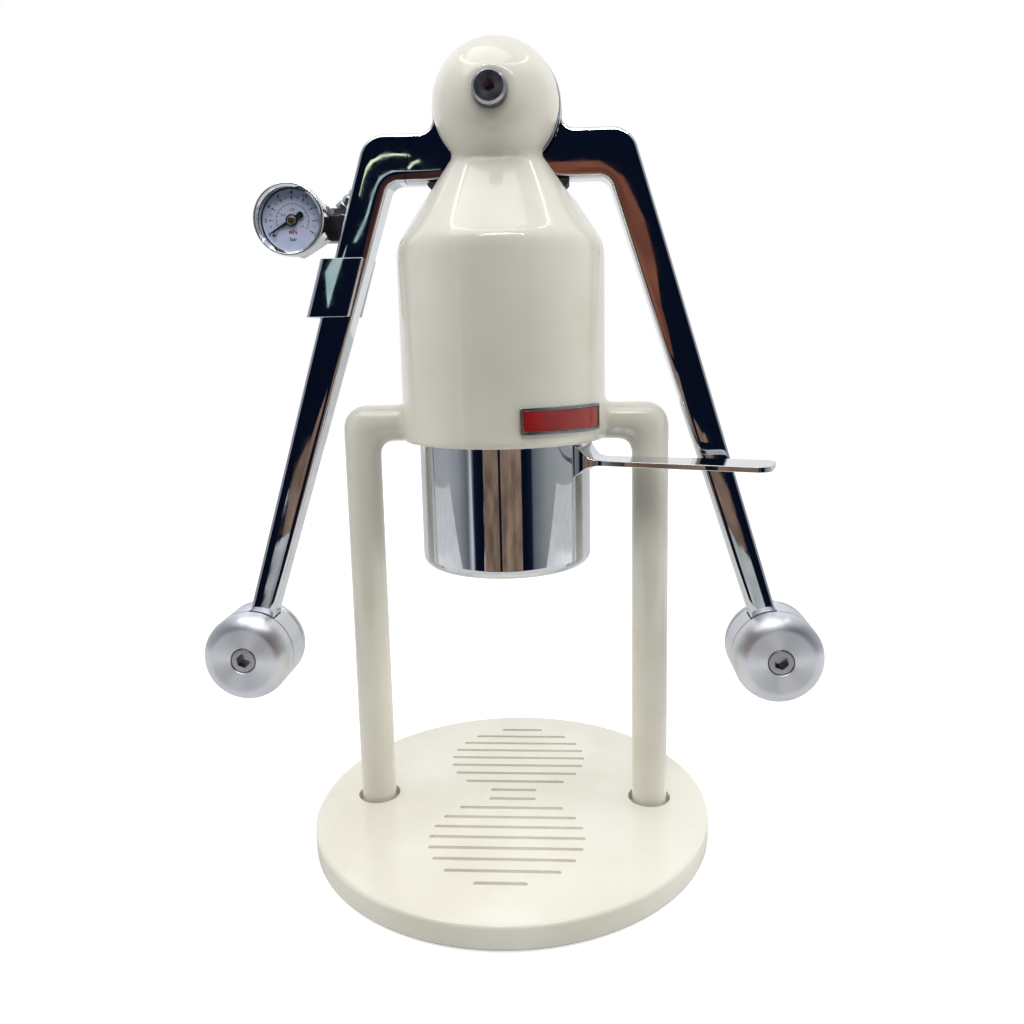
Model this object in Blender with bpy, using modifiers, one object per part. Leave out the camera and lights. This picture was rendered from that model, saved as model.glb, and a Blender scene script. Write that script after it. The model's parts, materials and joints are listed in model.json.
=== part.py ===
# Lever espresso machine with two raised-and-lowered side arms, a standing frame and a pressure gauge.
# The origin is on the body's axis at table level, +Z is up, +X is to the right and -Y is the front.

import math

import bmesh
import bpy
from mathutils import Matrix, Vector

MM = 0.001

# Fits and counts shared by all pieces
GAP = 0.3 * MM
WELD_DISTANCE = 0.001 * MM
OVERRUN = 4.0 * MM
BODY_STEPS = 48
ROUND_STEPS = 36
KNOB_STEPS = 24
SMALL_STEPS = 14
FRONT_FACING = (math.radians(90), 0, 0)

# Base plate, its mat and the leg sockets
BASE_RADIUS = 80.0 * MM
BASE_FORWARD = 3.5 * MM
BASE_CLEARANCE = 0.5 * MM
BASE_THICKNESS = 9.6 * MM
BASE_EDGE_RADIUS = 1.5 * MM
MAT_RADIUS = 46.0 * MM
MAT_THICKNESS = 1.4 * MM
SOCKET_CLEARANCE = 1.45 * MM
SOCKET_DEPTH = 4.1 * MM
SOCKET_WEB = 1.8 * MM

# Drip grooves: two round fields that share one spacing
GROOVE_PITCH = 7.17 * MM
GROOVE_COUNT = 18
GROOVE_FIELD_RADIUS = 30.3 * MM
GROOVE_WIDTH = 1.5 * MM
GROOVE_DEPTH = 0.9 * MM

# Legs
LEG_STANDOFF = 17.45 * MM
LEG_RADIUS = 7.2 * MM
LEG_SHOULDER_RISE = 6.9 * MM
LEG_OUTER_CORNER = 9.0 * MM
LEG_INNER_CORNER = 5.2 * MM
LEG_TILT_RUN = 9.0 * MM
LEG_SIDES = 16
LEG_CORNER_STEPS = 5

# Screws under the base
LEG_SCREW_RADIUS = 2.6 * MM
LEG_SCREW_REACH = 10.5 * MM
LEG_SCREW_HEAD_RADIUS = 5.0 * MM
LEG_SCREW_HEAD_HEIGHT = 2.0 * MM
LEG_SCREW_KEY_RADIUS = 2.3 * MM

# Body casting: drops are measured down from the axle
BODY_RADIUS = 39.5 * MM
BODY_WALL = 3.3 * MM
BODY_DROP = 123.0 * MM
BODY_RIM_RADIUS = 1.2 * MM
SHOULDER_DROP = 49.3 * MM
SHOULDER_ROUND = 12.0 * MM
NECK_DROP = 16.7 * MM
NECK_RADIUS = 17.9 * MM
NECK_TOP_DROP = 11.2 * MM
NECK_TOP_RADIUS = 14.2 * MM
CAVITY_SHOULDER_DROP = 58.0 * MM
CAVITY_TOP_DROP = 46.0 * MM
CAVITY_TOP_INSET = 9.2 * MM

# Head: two cheeks with a slot between them for the arm hubs
AXLE_HEIGHT = 284.0 * MM
HEAD_RADIUS = 23.3 * MM
HEAD_OFFSET = 7.0 * MM
SLOT_DROP = 32.0 * MM
SLOT_SIDE_CLEARANCE = 0.4 * MM

# Axle
AXLE_RADIUS = 5.0 * MM
AXLE_CAP_RADIUS = 6.3 * MM
AXLE_SEAT = 28.6 * MM
AXLE_CAP_HEIGHT = 4.6 * MM
AXLE_CAP_CHAMFER = 0.9 * MM
AXLE_KEY_RADIUS = 2.1 * MM
AXLE_KEY_DEPTH = 3.0 * MM
AXLE_THREAD_RADIUS = 3.9 * MM
AXLE_THREAD_LENGTH = 2.9 * MM

# Arms: measured from the axle, outward and downward
ARM_THICKNESS = 13.0 * MM
ARM_END_THICKNESS = 8.0 * MM
ARM_EDGE_RADIUS = 2.4 * MM
HUB_RADIUS = 23.9 * MM
ROOT_DROP = 8.0 * MM
ROOT_HEIGHT = 17.4 * MM
ROOT_FILLET = 5.0 * MM
ELBOW_REACH = 49.5 * MM
ELBOW_RADIUS = 10.0 * MM
BAR_ROOT_WIDTH = 8.5 * MM
INNER_ELBOW_RADIUS = 5.0 * MM
UNDERSIDE_REACH = 27.0 * MM
KNOB_SPREAD = 57.1 * MM
KNOB_DROP = 210.0 * MM
BAR_END_WIDTH = 9.9 * MM
TAPER_DROP = 49.0 * MM
LAP_HALF = 2.4 * MM
LAP_CLEARANCE = 0.6 * MM
YOKE_ROOM_RADIUS = 29.0 * MM
YOKE_ROOM_REACH = 22.5 * MM

# Joint line between the left arm and its hub piece
SEAM_REACH = 33.4 * MM
SEAM_LEAN = math.radians(9.2)
JOINT_SCREW_REACH = 29.0 * MM
JOINT_SCREW_SPREAD = 8.0 * MM
JOINT_SCREW_RADIUS = 1.3 * MM
JOINT_SCREW_HEAD_RADIUS = 2.4 * MM
JOINT_SCREW_HEAD_HEIGHT = 1.4 * MM
JOINT_SCREW_DEPTH = 4.5 * MM

# Hub bushes and crank pins
BUSH_WALL = 1.7 * MM
CRANK_RADIUS = 19.5 * MM
CRANK_START = math.radians(38)
ARM_SWING = math.radians(97)
CRANK_PIN_RADIUS = 2.8 * MM
CRANK_PIN_RECESS = 0.2 * MM

# Rubber stops on the slot's floor
STOP_INNER_REACH = 20.0 * MM
STOP_LENGTH = 6.5 * MM
STOP_SIDE_CLEARANCE = 1.0 * MM

# Knobs at the arm ends
KNOB_RADIUS = 17.7 * MM
KNOB_FACE_RADIUS = 12.4 * MM
KNOB_FRONT = 14.3 * MM
KNOB_FRONT_SEAT = 4.7 * MM
KNOB_REAR_SEAT = 8.0 * MM
KNOB_CAP_THICKNESS = 3.0 * MM
KNOB_GROOVE_DEPTH = 0.9 * MM
KNOB_EDGE_CHAMFER = 0.6 * MM
KNOB_SHOULDER_DEPTH = 5.6 * MM
KNOB_SLOT_CLEARANCE = 0.5 * MM
KNOB_SCREW_RADIUS = 3.0 * MM
KNOB_SCREW_HEAD_RADIUS = 4.9 * MM
KNOB_SCREW_HEAD_HEIGHT = 4.0 * MM
KNOB_SCREW_SINK = 0.2 * MM
KNOB_KEY_RADIUS = 2.7 * MM
KNOB_KEY_DEPTH = 2.6 * MM
KNOB_THREAD_DEPTH = 1.6 * MM

# Yoke driven by the crank pins
YOKE_THICKNESS = 4.0 * MM
YOKE_SLOT_CLEARANCE = 1.2 * MM
YOKE_PRONG = 3.4 * MM
YOKE_REACH = 20.2 * MM
YOKE_SLOT_START = 8.8 * MM
YOKE_WEB_REACH = 15.5 * MM
YOKE_WEB_HEIGHT = 6.0 * MM
YOKE_AXLE_CLEARANCE = 1.3 * MM
YOKE_CORNER = 3.0 * MM
YOKE_STEM_HALF_WIDTH = 4.4 * MM
YOKE_STEM_LENGTH = 22.5 * MM
YOKE_PIN_RADIUS = 1.5 * MM
YOKE_PIN_RISE = 4.6 * MM
YOKE_ROOM = 0.9 * MM

# Piston rod, its guide and the piston
ROD_RADIUS = 5.0 * MM
ROD_FORK_DEPTH = 10.0 * MM
ROD_SEAT_HEIGHT = 5.9 * MM
BUSH_BOSS_RADIUS = 11.5 * MM
BUSH_BOSS_LENGTH = 38.0 * MM
ROD_BUSH_RADIUS = 7.6 * MM
ROD_BUSH_LENGTH = 15.0 * MM
ROD_BUSH_FLANGE = 9.6 * MM
ROD_BUSH_FLANGE_HEIGHT = 2.0 * MM
ROD_PASSAGE_CLEARANCE = 0.8 * MM
PISTON_RISE = 19.4 * MM
PISTON_HEIGHT = 13.6 * MM
PISTON_CLEARANCE = 0.8 * MM
SEAL_GROOVE_DEPTH = 2.0 * MM
SEAL_HEIGHT = 3.2 * MM
PISTON_SCREEN_THICKNESS = 0.8 * MM
PISTON_SCREEN_INSET = 1.2 * MM
PISTON_SCREW_RADIUS = 2.5 * MM
PISTON_SCREW_REACH = 13.6 * MM
PISTON_SCREW_HEAD_RADIUS = 4.6 * MM
PISTON_SCREW_HEAD_HEIGHT = 2.4 * MM
PISTON_FITTING_RADIUS = 2.4 * MM
PISTON_FITTING_HEIGHT = 5.9 * MM
PISTON_FITTING_BACK = 18.0 * MM

# Portafilter, basket and locking ring
CUP_CLEARANCE = 2.8 * MM
CUP_HEIGHT = 58.1 * MM
CUP_LAP = 10.0 * MM
CUP_WALL = 2.5 * MM
CUP_FLOOR = 3.1 * MM
CUP_EDGE_RADIUS = 4.0 * MM
CUP_SPOUT_RADIUS = 5.0 * MM
BASKET_CLEARANCE = 0.4 * MM
BASKET_WALL = 1.2 * MM
BASKET_FLANGE_THICKNESS = 1.0 * MM
BASKET_FLOOR_CLEARANCE = 2.0 * MM
BASKET_CORNER = 2.0 * MM
SCREEN_CLEARANCE = 0.7 * MM
SCREEN_THICKNESS = 0.9 * MM
RING_LIP = 1.7 * MM
RING_BOTTOM_INSET = 0.6 * MM
RING_HEIGHT = 4.0 * MM
LUG_HEIGHT = 3.0 * MM
LUG_SIDE_CLEARANCE = 0.5 * MM
LUG_HALF_ANGLE = math.radians(18)
LUG_GAP_HALF_ANGLE = math.radians(23)
LOCK_ANGLE = math.radians(45)
LUG_ANGLES = (math.radians(90), math.radians(270))

# Handle strap
HANDLE_ANGLE = math.radians(-18)
HANDLE_LENGTH = 69.6 * MM
HANDLE_TOP_INSET = 5.8 * MM
HANDLE_THICKNESS = 2.0 * MM
HANDLE_ROOT_WIDTH = 15.0 * MM
HANDLE_TIP_WIDTH = 20.5 * MM
HANDLE_TIP_CORNER = 5.0 * MM
SADDLE_THICKNESS = 2.4 * MM
SADDLE_CLEARANCE = 0.7 * MM
SADDLE_HEIGHT = 11.8 * MM
SADDLE_HALF_ANGLE = math.radians(14)
SADDLE_CORNER = 3.0 * MM

# Badge
BADGE_RISE = 5.2 * MM
BADGE_HEIGHT = 9.8 * MM
BADGE_START = math.radians(-77.6)
BADGE_END = math.radians(-24.5)
BADGE_THICKNESS = 0.9 * MM
BADGE_BORDER = 1.0 * MM
BADGE_FIELD_SINK = 0.3 * MM

# Gauge
GAUGE_CLEARANCE = 6.65 * MM
GAUGE_DROP = 38.0 * MM
GAUGE_FRONT = 9.6 * MM
BEZEL_RADIUS = 13.6 * MM
BEZEL_WALL = 0.5 * MM
BEZEL_LIP = 1.7 * MM
BEZEL_LIP_THICKNESS = 1.2 * MM
BEZEL_DEPTH = 5.6 * MM
GLASS_THICKNESS = 1.0 * MM
GLASS_SIDE_CLEARANCE = 0.4 * MM
CASE_WALL = 0.8 * MM
CASE_REAR = 2.0 * MM
CASE_FLOOR = 1.6 * MM
DIAL_DEPTH = 2.9 * MM
DIAL_THICKNESS = 0.7 * MM
DIAL_SHELF = 1.0 * MM
MOVEMENT_RADIUS = 8.0 * MM
MOVEMENT_GAP = 0.5 * MM
ARBOR_RADIUS = 0.6 * MM
NEEDLE_HUB_RADIUS = 1.5 * MM
NEEDLE_HUB_HEIGHT = 1.6 * MM
NEEDLE_THICKNESS = 0.4 * MM
NEEDLE_LENGTH = 9.8 * MM
NEEDLE_TAIL = 4.4 * MM
NEEDLE_WIDTH = 0.9 * MM
NEEDLE_TAIL_WIDTH = 2.4 * MM
NEEDLE_EYE_WALL = 0.9 * MM
NEEDLE_ZERO = math.radians(208.7)
STOP_PIN_ANGLE = math.radians(217.5)
STOP_PIN_REACH = 8.9 * MM
STOP_PIN_RADIUS = 0.5 * MM
STOP_PIN_HEIGHT = 1.5 * MM
ADAPTER_RADIUS = 13.0 * MM
ADAPTER_DEPTH = 6.4 * MM
ADAPTER_SPIGOT_RADIUS = 4.0 * MM
ADAPTER_SPIGOT_LENGTH = 4.0 * MM

# Clip, manifold block and hose fittings
CLIP_DROP = 52.7 * MM
CLIP_HEIGHT = 21.8 * MM
CLIP_OFFSET = 4.9 * MM
CLIP_WALL = 1.8 * MM
CLIP_FRONT_LEG = 15.2 * MM
CLIP_REAR_LEG = 18.5 * MM
CLIP_ARM_CLEARANCE = 0.35 * MM
STRIP_WIDTH = 12.0 * MM
STRIP_INSET = 0.15 * MM
STRIP_OVERLAP = 8.0 * MM
CLIP_SCREW_RADIUS = 1.5 * MM
CLIP_SCREW_HEAD_RADIUS = 2.8 * MM
CLIP_SCREW_HEAD_HEIGHT = 1.8 * MM
BLOCK_OVERHANG = 7.0 * MM
BLOCK_WIDTH = 33.0 * MM
BLOCK_DEPTH = 8.0 * MM
BLOCK_TOP_DROP = 34.4 * MM
BLOCK_HEIGHT = 10.1 * MM
BLOCK_SCREW_RADIUS = 1.3 * MM
BLOCK_SCREW_HEAD_RADIUS = 2.3 * MM
BLOCK_SCREW_HEAD_HEIGHT = 1.5 * MM
ELBOW_FOOT_RADIUS = 3.0 * MM
ELBOW_FOOT_HEIGHT = 2.6 * MM
ELBOW_FOOT_INSET = 12.4 * MM
FERRULE_RADIUS = 2.6 * MM
FERRULE_LENGTH = 12.0 * MM
FERRULE_CRIMP = 0.4 * MM
FERRULE_RISE = math.radians(42)
FERRULE_SHIFT = 1.6 * MM
FERRULE_LIFT = 2.0 * MM

# Hose and the grommet where it leaves the body
HOSE_RADIUS = 1.7 * MM
GROMMET_DROP = 15.0 * MM
GROMMET_NECK_RADIUS = 3.1 * MM
GROMMET_FLANGE_RADIUS = 4.6 * MM
GROMMET_FLANGE_THICKNESS = 3.0 * MM
GROMMET_BORE = 1.2 * MM
HOSE_STEP = 7.5 * MM
OUTER_HOSE_ROUTE = (
    (-55.7, 13.1, 260.3), (-48.2, 14.8, 266.4), (-39.5, 18.8, 270.4), (-30.0, 25.0, 272.2),
    (-20.0, 32.4, 272.0), (-9.5, 40.4, 269.8), (0.5, 48.4, 265.6), (9.0, 56.2, 258.8),
    (15.0, 62.8, 249.6), (17.6, 67.4, 239.0), (16.8, 69.8, 228.2), (12.8, 69.2, 219.0),
    (7.4, 65.0, 213.2), (3.0, 59.0, 211.2), (0.6, 52.4, 211.0), (0.0, 47.6, 211.0), (0.0, 43.2, 211.0),
)
INNER_HOSE_ROUTE = (
    (0.0, 31.4, 211.0), (0.0, 29.2, 210.4), (0.0, 27.3, 206.0), (0.0, 26.3, 196.0), (0.0, 25.5, 184.0),
    (0.0, 23.0, 173.0), (0.0, 19.8, 166.0), (0.0, 18.2, 161.5), (0.0, 18.0, 157.5),
)

# Heights, reaches and depths that several pieces share
BASE_TOP = BASE_CLEARANCE + BASE_THICKNESS
SOCKET_FLOOR = BASE_TOP - SOCKET_DEPTH
BODY_BOTTOM = AXLE_HEIGHT - BODY_DROP
SHOULDER_HEIGHT = AXLE_HEIGHT - SHOULDER_DROP
NECK_HEIGHT = AXLE_HEIGHT - NECK_DROP
NECK_TOP = AXLE_HEIGHT - NECK_TOP_DROP
SLOT_FLOOR = AXLE_HEIGHT - SLOT_DROP
CAVITY_SHOULDER = AXLE_HEIGHT - CAVITY_SHOULDER_DROP
CAVITY_TOP = AXLE_HEIGHT - CAVITY_TOP_DROP
CAVITY_RADIUS = BODY_RADIUS - BODY_WALL
CAVITY_TOP_RADIUS = CAVITY_RADIUS - CAVITY_TOP_INSET
BUSH_BOSS_BOTTOM = CAVITY_TOP - BUSH_BOSS_LENGTH
GROMMET_HEIGHT = CAVITY_SHOULDER - GROMMET_DROP
LEG_REACH = BODY_RADIUS + LEG_STANDOFF
LEG_FOOT = SOCKET_FLOOR + GAP
LEG_SHOULDER_HEIGHT = BODY_BOTTOM + LEG_SHOULDER_RISE
CUP_RADIUS = CAVITY_RADIUS - CUP_CLEARANCE
CUP_TOP = BODY_BOTTOM + CUP_LAP
CUP_BOTTOM = CUP_TOP - CUP_HEIGHT
BASKET_INNER_RADIUS = CUP_RADIUS - CUP_WALL - BASKET_CLEARANCE - BASKET_WALL
BASKET_BOTTOM = CUP_BOTTOM + CUP_FLOOR + BASKET_FLOOR_CLEARANCE
SCREEN_RADIUS = BASKET_INNER_RADIUS - SCREEN_CLEARANCE
PISTON_RADIUS = BASKET_INNER_RADIUS - PISTON_CLEARANCE
PISTON_BOTTOM = BASKET_BOTTOM + PISTON_RISE
ROD_END = PISTON_BOTTOM + ROD_SEAT_HEIGHT
SADDLE_TOP = BODY_BOTTOM - SADDLE_CLEARANCE
SADDLE_BOTTOM = SADDLE_TOP - SADDLE_HEIGHT
HANDLE_TOP = SADDLE_TOP - HANDLE_TOP_INSET
HANDLE_REACH = CUP_RADIUS + HANDLE_LENGTH
BADGE_BOTTOM = BODY_BOTTOM + BADGE_RISE
KNOB_REACH = ELBOW_REACH + KNOB_SPREAD
INNER_ELBOW_REACH = ELBOW_REACH - BAR_ROOT_WIDTH
SLOT_HALF = ARM_THICKNESS / 2 + SLOT_SIDE_CLEARANCE
CRANK_REACH = CRANK_RADIUS * math.sin(CRANK_START)
PIN_LEVEL = AXLE_HEIGHT - CRANK_RADIUS * math.cos(CRANK_START)
YOKE_SLOT_HALF = CRANK_PIN_RADIUS + YOKE_SLOT_CLEARANCE
YOKE_OPENING_RADIUS = AXLE_RADIUS + YOKE_AXLE_CLEARANCE
YOKE_OPENING_CENTRE = -CRANK_RADIUS * math.cos(CRANK_START + ARM_SWING) - CRANK_PIN_RECESS
YOKE_WEB_TOP = -YOKE_OPENING_CENTRE - YOKE_OPENING_RADIUS
YOKE_WEB_BOTTOM = YOKE_WEB_TOP - YOKE_WEB_HEIGHT
YOKE_STEM_BOTTOM = YOKE_WEB_BOTTOM - YOKE_STEM_LENGTH
ROD_FORK_FLOOR = PIN_LEVEL + YOKE_STEM_BOTTOM - GAP
ROD_TOP = ROD_FORK_FLOOR + ROD_FORK_DEPTH
YOKE_PIN_HEIGHT = PIN_LEVEL + YOKE_STEM_BOTTOM + YOKE_PIN_RISE
PISTON_TOP = PISTON_BOTTOM + PISTON_HEIGHT
RING_TOP = BODY_BOTTOM + RING_BOTTOM_INSET + RING_HEIGHT
KNOB_HEIGHT = AXLE_HEIGHT - KNOB_DROP
GAUGE_HEIGHT = AXLE_HEIGHT - GAUGE_DROP
CLIP_REAR_FACE = ARM_THICKNESS / 2 + CLIP_ARM_CLEARANCE + CLIP_WALL
BLOCK_FRONT = CLIP_REAR_FACE + GAP
BLOCK_TOP = AXLE_HEIGHT - BLOCK_TOP_DROP
GLASS_TOP = GAUGE_FRONT - BEZEL_LIP_THICKNESS - GAP
CASE_FRONT = GLASS_TOP - GLASS_THICKNESS - GAP
CASE_RADIUS = BEZEL_RADIUS - BEZEL_WALL - GAP
DIAL_FACE = CASE_FRONT - DIAL_DEPTH
DIAL_RADIUS = CASE_RADIUS - CASE_WALL - GAP

# Surfaces: colour, roughness, metallic
SURFACES = {
    "cream_paint": ((0.80, 0.77, 0.68), 0.25, 0.0),
    "polished_chrome": ((0.62, 0.63, 0.66), 0.06, 1.0),
    "brushed_aluminium": ((0.60, 0.61, 0.63), 0.35, 1.0),
    "steel": ((0.48, 0.48, 0.50), 0.30, 1.0),
    "stainless": ((0.58, 0.58, 0.58), 0.28, 1.0),
    "bronze": ((0.45, 0.28, 0.12), 0.40, 1.0),
    "brass": ((0.62, 0.50, 0.30), 0.30, 1.0),
    "rubber": ((0.03, 0.03, 0.03), 0.80, 0.0),
    "silicone": ((0.45, 0.10, 0.07), 0.60, 0.0),
    "black_anodised": ((0.08, 0.08, 0.09), 0.45, 0.6),
    "badge_silver": ((0.55, 0.55, 0.56), 0.30, 1.0),
    "badge_red": ((0.42, 0.03, 0.02), 0.30, 0.0),
    "dial_white": ((0.72, 0.79, 0.88), 0.45, 0.0),
    "needle_black": ((0.02, 0.02, 0.02), 0.40, 0.0),
    "gauge_glass": ((0.90, 0.94, 0.96), 0.03, 0.0),
    "braided_hose": ((0.42, 0.42, 0.43), 0.40, 0.8),
}

for leftover in list(bpy.data.objects):
    bpy.data.objects.remove(leftover, do_unlink=True)

parts = bpy.data.collections.new("lever_espresso_machine")
bpy.context.scene.collection.children.link(parts)
cutters = bpy.data.collections.new("cutters")
bpy.context.scene.collection.children.link(cutters)
surfaces = {}


def surface(name):
    if name not in surfaces:
        colour, roughness, metallic = SURFACES[name]
        made = bpy.data.materials.new(name)
        made.use_nodes = True
        shader = made.node_tree.nodes["Principled BSDF"]
        shader.inputs["Base Color"].default_value = (*colour, 1)
        shader.inputs["Roughness"].default_value = roughness
        shader.inputs["Metallic"].default_value = metallic
        surfaces[name] = made
    return surfaces[name]


def new_object(name, mesh):
    made = bpy.data.objects.new(name, mesh)
    cutters.objects.link(made)
    made.hide_render = True
    made.display_type = "WIRE"
    return made


def finish(piece, surface_name, carrier=None):
    # Turns a worked shape into a part, carried by the empty on its joint's axis
    cutters.objects.unlink(piece)
    parts.objects.link(piece)
    piece.hide_render = False
    piece.display_type = "TEXTURED"
    piece.data.materials.clear()
    own = surface(surface_name).copy()
    own.name = piece.name + "_" + surface_name
    piece.data.materials.append(own)
    if carrier:
        piece.parent = carrier
        piece.location = piece.location - carrier.location
    return piece


def joint_axis(name, place):
    empty = bpy.data.objects.new(name, None)
    empty.location = place
    parts.objects.link(empty)
    return empty


def from_bmesh(name, bm, angle=40):
    mesh = bpy.data.meshes.new(name)
    bmesh.ops.recalc_face_normals(bm, faces=bm.faces)
    bm.to_mesh(mesh)
    bm.free()
    mesh.shade_smooth()
    mesh.set_sharp_from_angle(angle=math.radians(angle))
    return new_object(name, mesh)


def turned(name, profile, place=(0, 0, 0), steps=ROUND_STEPS, facing=(0, 0, 0)):
    # The profile runs down the outer side; one that leaves the axis open closes on itself
    mesh = bpy.data.meshes.new(name)
    points = [(radius, 0, height) for radius, height in profile]
    edges = [(index, index + 1) for index in range(len(points) - 1)]
    if profile[0][0] > 0:
        edges.append((len(points) - 1, 0))
    mesh.from_pydata(points, edges, [])
    made = new_object(name, mesh)
    made.location = place
    made.rotation_euler = facing
    spin = made.modifiers.new("turn", "SCREW")
    spin.steps = steps
    spin.render_steps = steps
    spin.use_merge_vertices = True
    spin.merge_threshold = WELD_DISTANCE
    return made


def rod(name, radius, low, high, place=(0, 0, 0), steps=SMALL_STEPS, facing=(0, 0, 0)):
    bm = bmesh.new()
    middle = Matrix.Translation((0, 0, (low + high) / 2))
    bmesh.ops.create_cone(bm, cap_ends=True, segments=steps, radius1=radius, radius2=radius,
                          depth=high - low, matrix=middle)
    made = from_bmesh(name, bm)
    made.location = place
    made.rotation_euler = facing
    return made


def box(name, low, high, place=(0, 0, 0), facing=(0, 0, 0)):
    size = Vector(high) - Vector(low)
    middle = (Vector(high) + Vector(low)) / 2
    bm = bmesh.new()
    bmesh.ops.create_cube(bm, size=1, matrix=Matrix.Translation(middle) @ Matrix.Diagonal((*size, 1)))
    made = from_bmesh(name, bm)
    made.location = place
    made.rotation_euler = facing
    return made


def as_mesh(name, curve):
    # The curve's evaluated surface with its end caps welded on
    shape = bpy.data.objects.new(name, curve)
    bpy.context.scene.collection.objects.link(shape)
    bpy.context.view_layer.update()
    evaluated = shape.evaluated_get(bpy.context.evaluated_depsgraph_get())
    mesh = bpy.data.meshes.new_from_object(evaluated)
    bpy.data.objects.remove(shape)
    bm = bmesh.new()
    bm.from_mesh(mesh)
    bmesh.ops.remove_doubles(bm, verts=bm.verts, dist=WELD_DISTANCE)
    return from_bmesh(name, bm)


def plate(name, outline, thickness, place=(0, 0, 0), facing=(0, 0, 0)):
    # A flat outline, filled and given its thickness on both sides
    curve = bpy.data.curves.new(name, "CURVE")
    curve.dimensions = "2D"
    curve.fill_mode = "BOTH"
    curve.extrude = thickness / 2
    spline = curve.splines.new("POLY")
    spline.points.add(len(outline) - 1)
    spline.use_cyclic_u = True
    for point, (along, across) in zip(spline.points, outline):
        point.co = (along, across, 0, 1)
    made = as_mesh(name, curve)
    made.location = place
    made.rotation_euler = facing
    return made


def boolean(target, tool, operation):
    step = target.modifiers.new(operation.lower(), "BOOLEAN")
    step.operation = operation
    step.object = tool
    return target


def cut(target, *tools):
    for tool in tools:
        boolean(target, tool, "DIFFERENCE")
    return target


def join(target, *tools):
    for tool in tools:
        boolean(target, tool, "UNION")
    return target


def round_edges(target, width, segments=2, angle=40):
    edge = target.modifiers.new("rounded edges", "BEVEL")
    edge.width = width
    edge.segments = segments
    edge.limit_method = "ANGLE"
    edge.angle_limit = math.radians(angle)
    return target


def arc(centre, radius, start, end, steps):
    points = []
    for index in range(steps + 1):
        angle = start + (end - start) * index / steps
        points.append((centre[0] + radius * math.cos(angle), centre[1] + radius * math.sin(angle)))
    return points


def clockwise_arc(centre, radius, first, last, steps):
    start = math.atan2(first[1] - centre[1], first[0] - centre[0])
    end = math.atan2(last[1] - centre[1], last[0] - centre[0])
    if end > start:
        end -= 2 * math.pi
    return arc(centre, radius, start, end, steps)


def round_corner(before, corner, after, radius, steps=4):
    corner = Vector(corner)
    back = (Vector(before) - corner).normalized()
    ahead = (Vector(after) - corner).normalized()
    half = back.angle(ahead) / 2
    centre = corner + (back + ahead).normalized() * radius / math.sin(half)
    first = corner + back * radius / math.tan(half) - centre
    last = corner + ahead * radius / math.tan(half) - centre
    start = math.atan2(first.y, first.x)
    turn = math.atan2(first.x * last.y - first.y * last.x, first.dot(last))
    return arc(centre, radius, start, start + turn, steps)


def tangent_point(point, centre, radius, side):
    # Where a line from the point touches the circle, on its right (-1) or left (+1) side
    reach = Vector(centre) - Vector(point)
    swing = side * math.asin(radius / reach.length)
    run = math.sqrt(reach.length ** 2 - radius ** 2)
    heading = math.atan2(reach.y, reach.x) + swing
    return (point[0] + run * math.cos(heading), point[1] + run * math.sin(heading))


def sector(inner, outer, start, end, steps):
    return arc((0, 0), outer, start, end, steps) + arc((0, 0), inner, end, start, steps)


def rounded_bar(length, width, corner_steps=3):
    half = length / 2 - width / 2
    right = arc((half, 0), width / 2, -math.pi / 2, math.pi / 2, corner_steps)
    return right + arc((-half, 0), width / 2, math.pi / 2, 3 * math.pi / 2, corner_steps)


def hexagon_socket(name, radius, depth, face, place, facing=FRONT_FACING):
    return rod(name, radius, face - depth, face + OVERRUN, place, 6, facing)


def smooth_route(points):
    # Reads evenly spaced points from a smooth curve through the route's own points
    route = [Vector(point) * MM for point in points]
    padded = [route[0] * 2 - route[1]] + route + [route[-1] * 2 - route[-2]]
    smooth = [route[0]]
    for index in range(1, len(padded) - 2):
        before, start, end, after = padded[index - 1:index + 3]
        count = max(1, round((end - start).length / HOSE_STEP))
        for step in range(1, count + 1):
            share = step / count
            smooth.append(0.5 * (2 * start + (end - before) * share
                                 + (2 * before - 5 * start + 4 * end - after) * share ** 2
                                 + (3 * start - before - 3 * end + after) * share ** 3))
    return smooth


def hose(name, points):
    curve = bpy.data.curves.new(name, "CURVE")
    curve.dimensions = "3D"
    curve.bevel_depth = HOSE_RADIUS
    curve.bevel_resolution = 2
    curve.use_fill_caps = True
    smooth = smooth_route(points)
    spline = curve.splines.new("POLY")
    spline.points.add(len(smooth) - 1)
    for point, place in zip(spline.points, smooth):
        point.co = (*place, 1)
    return as_mesh(name, curve)


def outer_lean():
    elbow = (ELBOW_REACH, -ROOT_DROP)
    touch = tangent_point(elbow, (KNOB_REACH, -KNOB_DROP), BAR_END_WIDTH / 2, 1)
    return (touch[0] - elbow[0]) / (elbow[1] - touch[1])


def arm_edge(drop):
    # How far the bar's outer edge stands from the axle at a height below it
    return ELBOW_REACH + (drop - ROOT_DROP) * outer_lean()


# The gauge stands clear of the left arm's outer edge, and the block and the elbow follow it
GAUGE_REACH = arm_edge(GAUGE_DROP) + BEZEL_RADIUS + GAUGE_CLEARANCE
BLOCK_LEFT = GAUGE_REACH + BLOCK_OVERHANG
ELBOW_FOOT_REACH = GAUGE_REACH - ELBOW_FOOT_INSET

# Joint axes
left_axis = joint_axis("left_arm_axis", (0, 0, AXLE_HEIGHT))
right_axis = joint_axis("right_arm_axis", (0, 0, AXLE_HEIGHT))
piston_axis = joint_axis("piston_axis", (0, 0, 0))
lock_axis = joint_axis("portafilter_axis", (0, 0, 0))
needle_axis = joint_axis("needle_axis", (-GAUGE_REACH, 0, GAUGE_HEIGHT))


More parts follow.
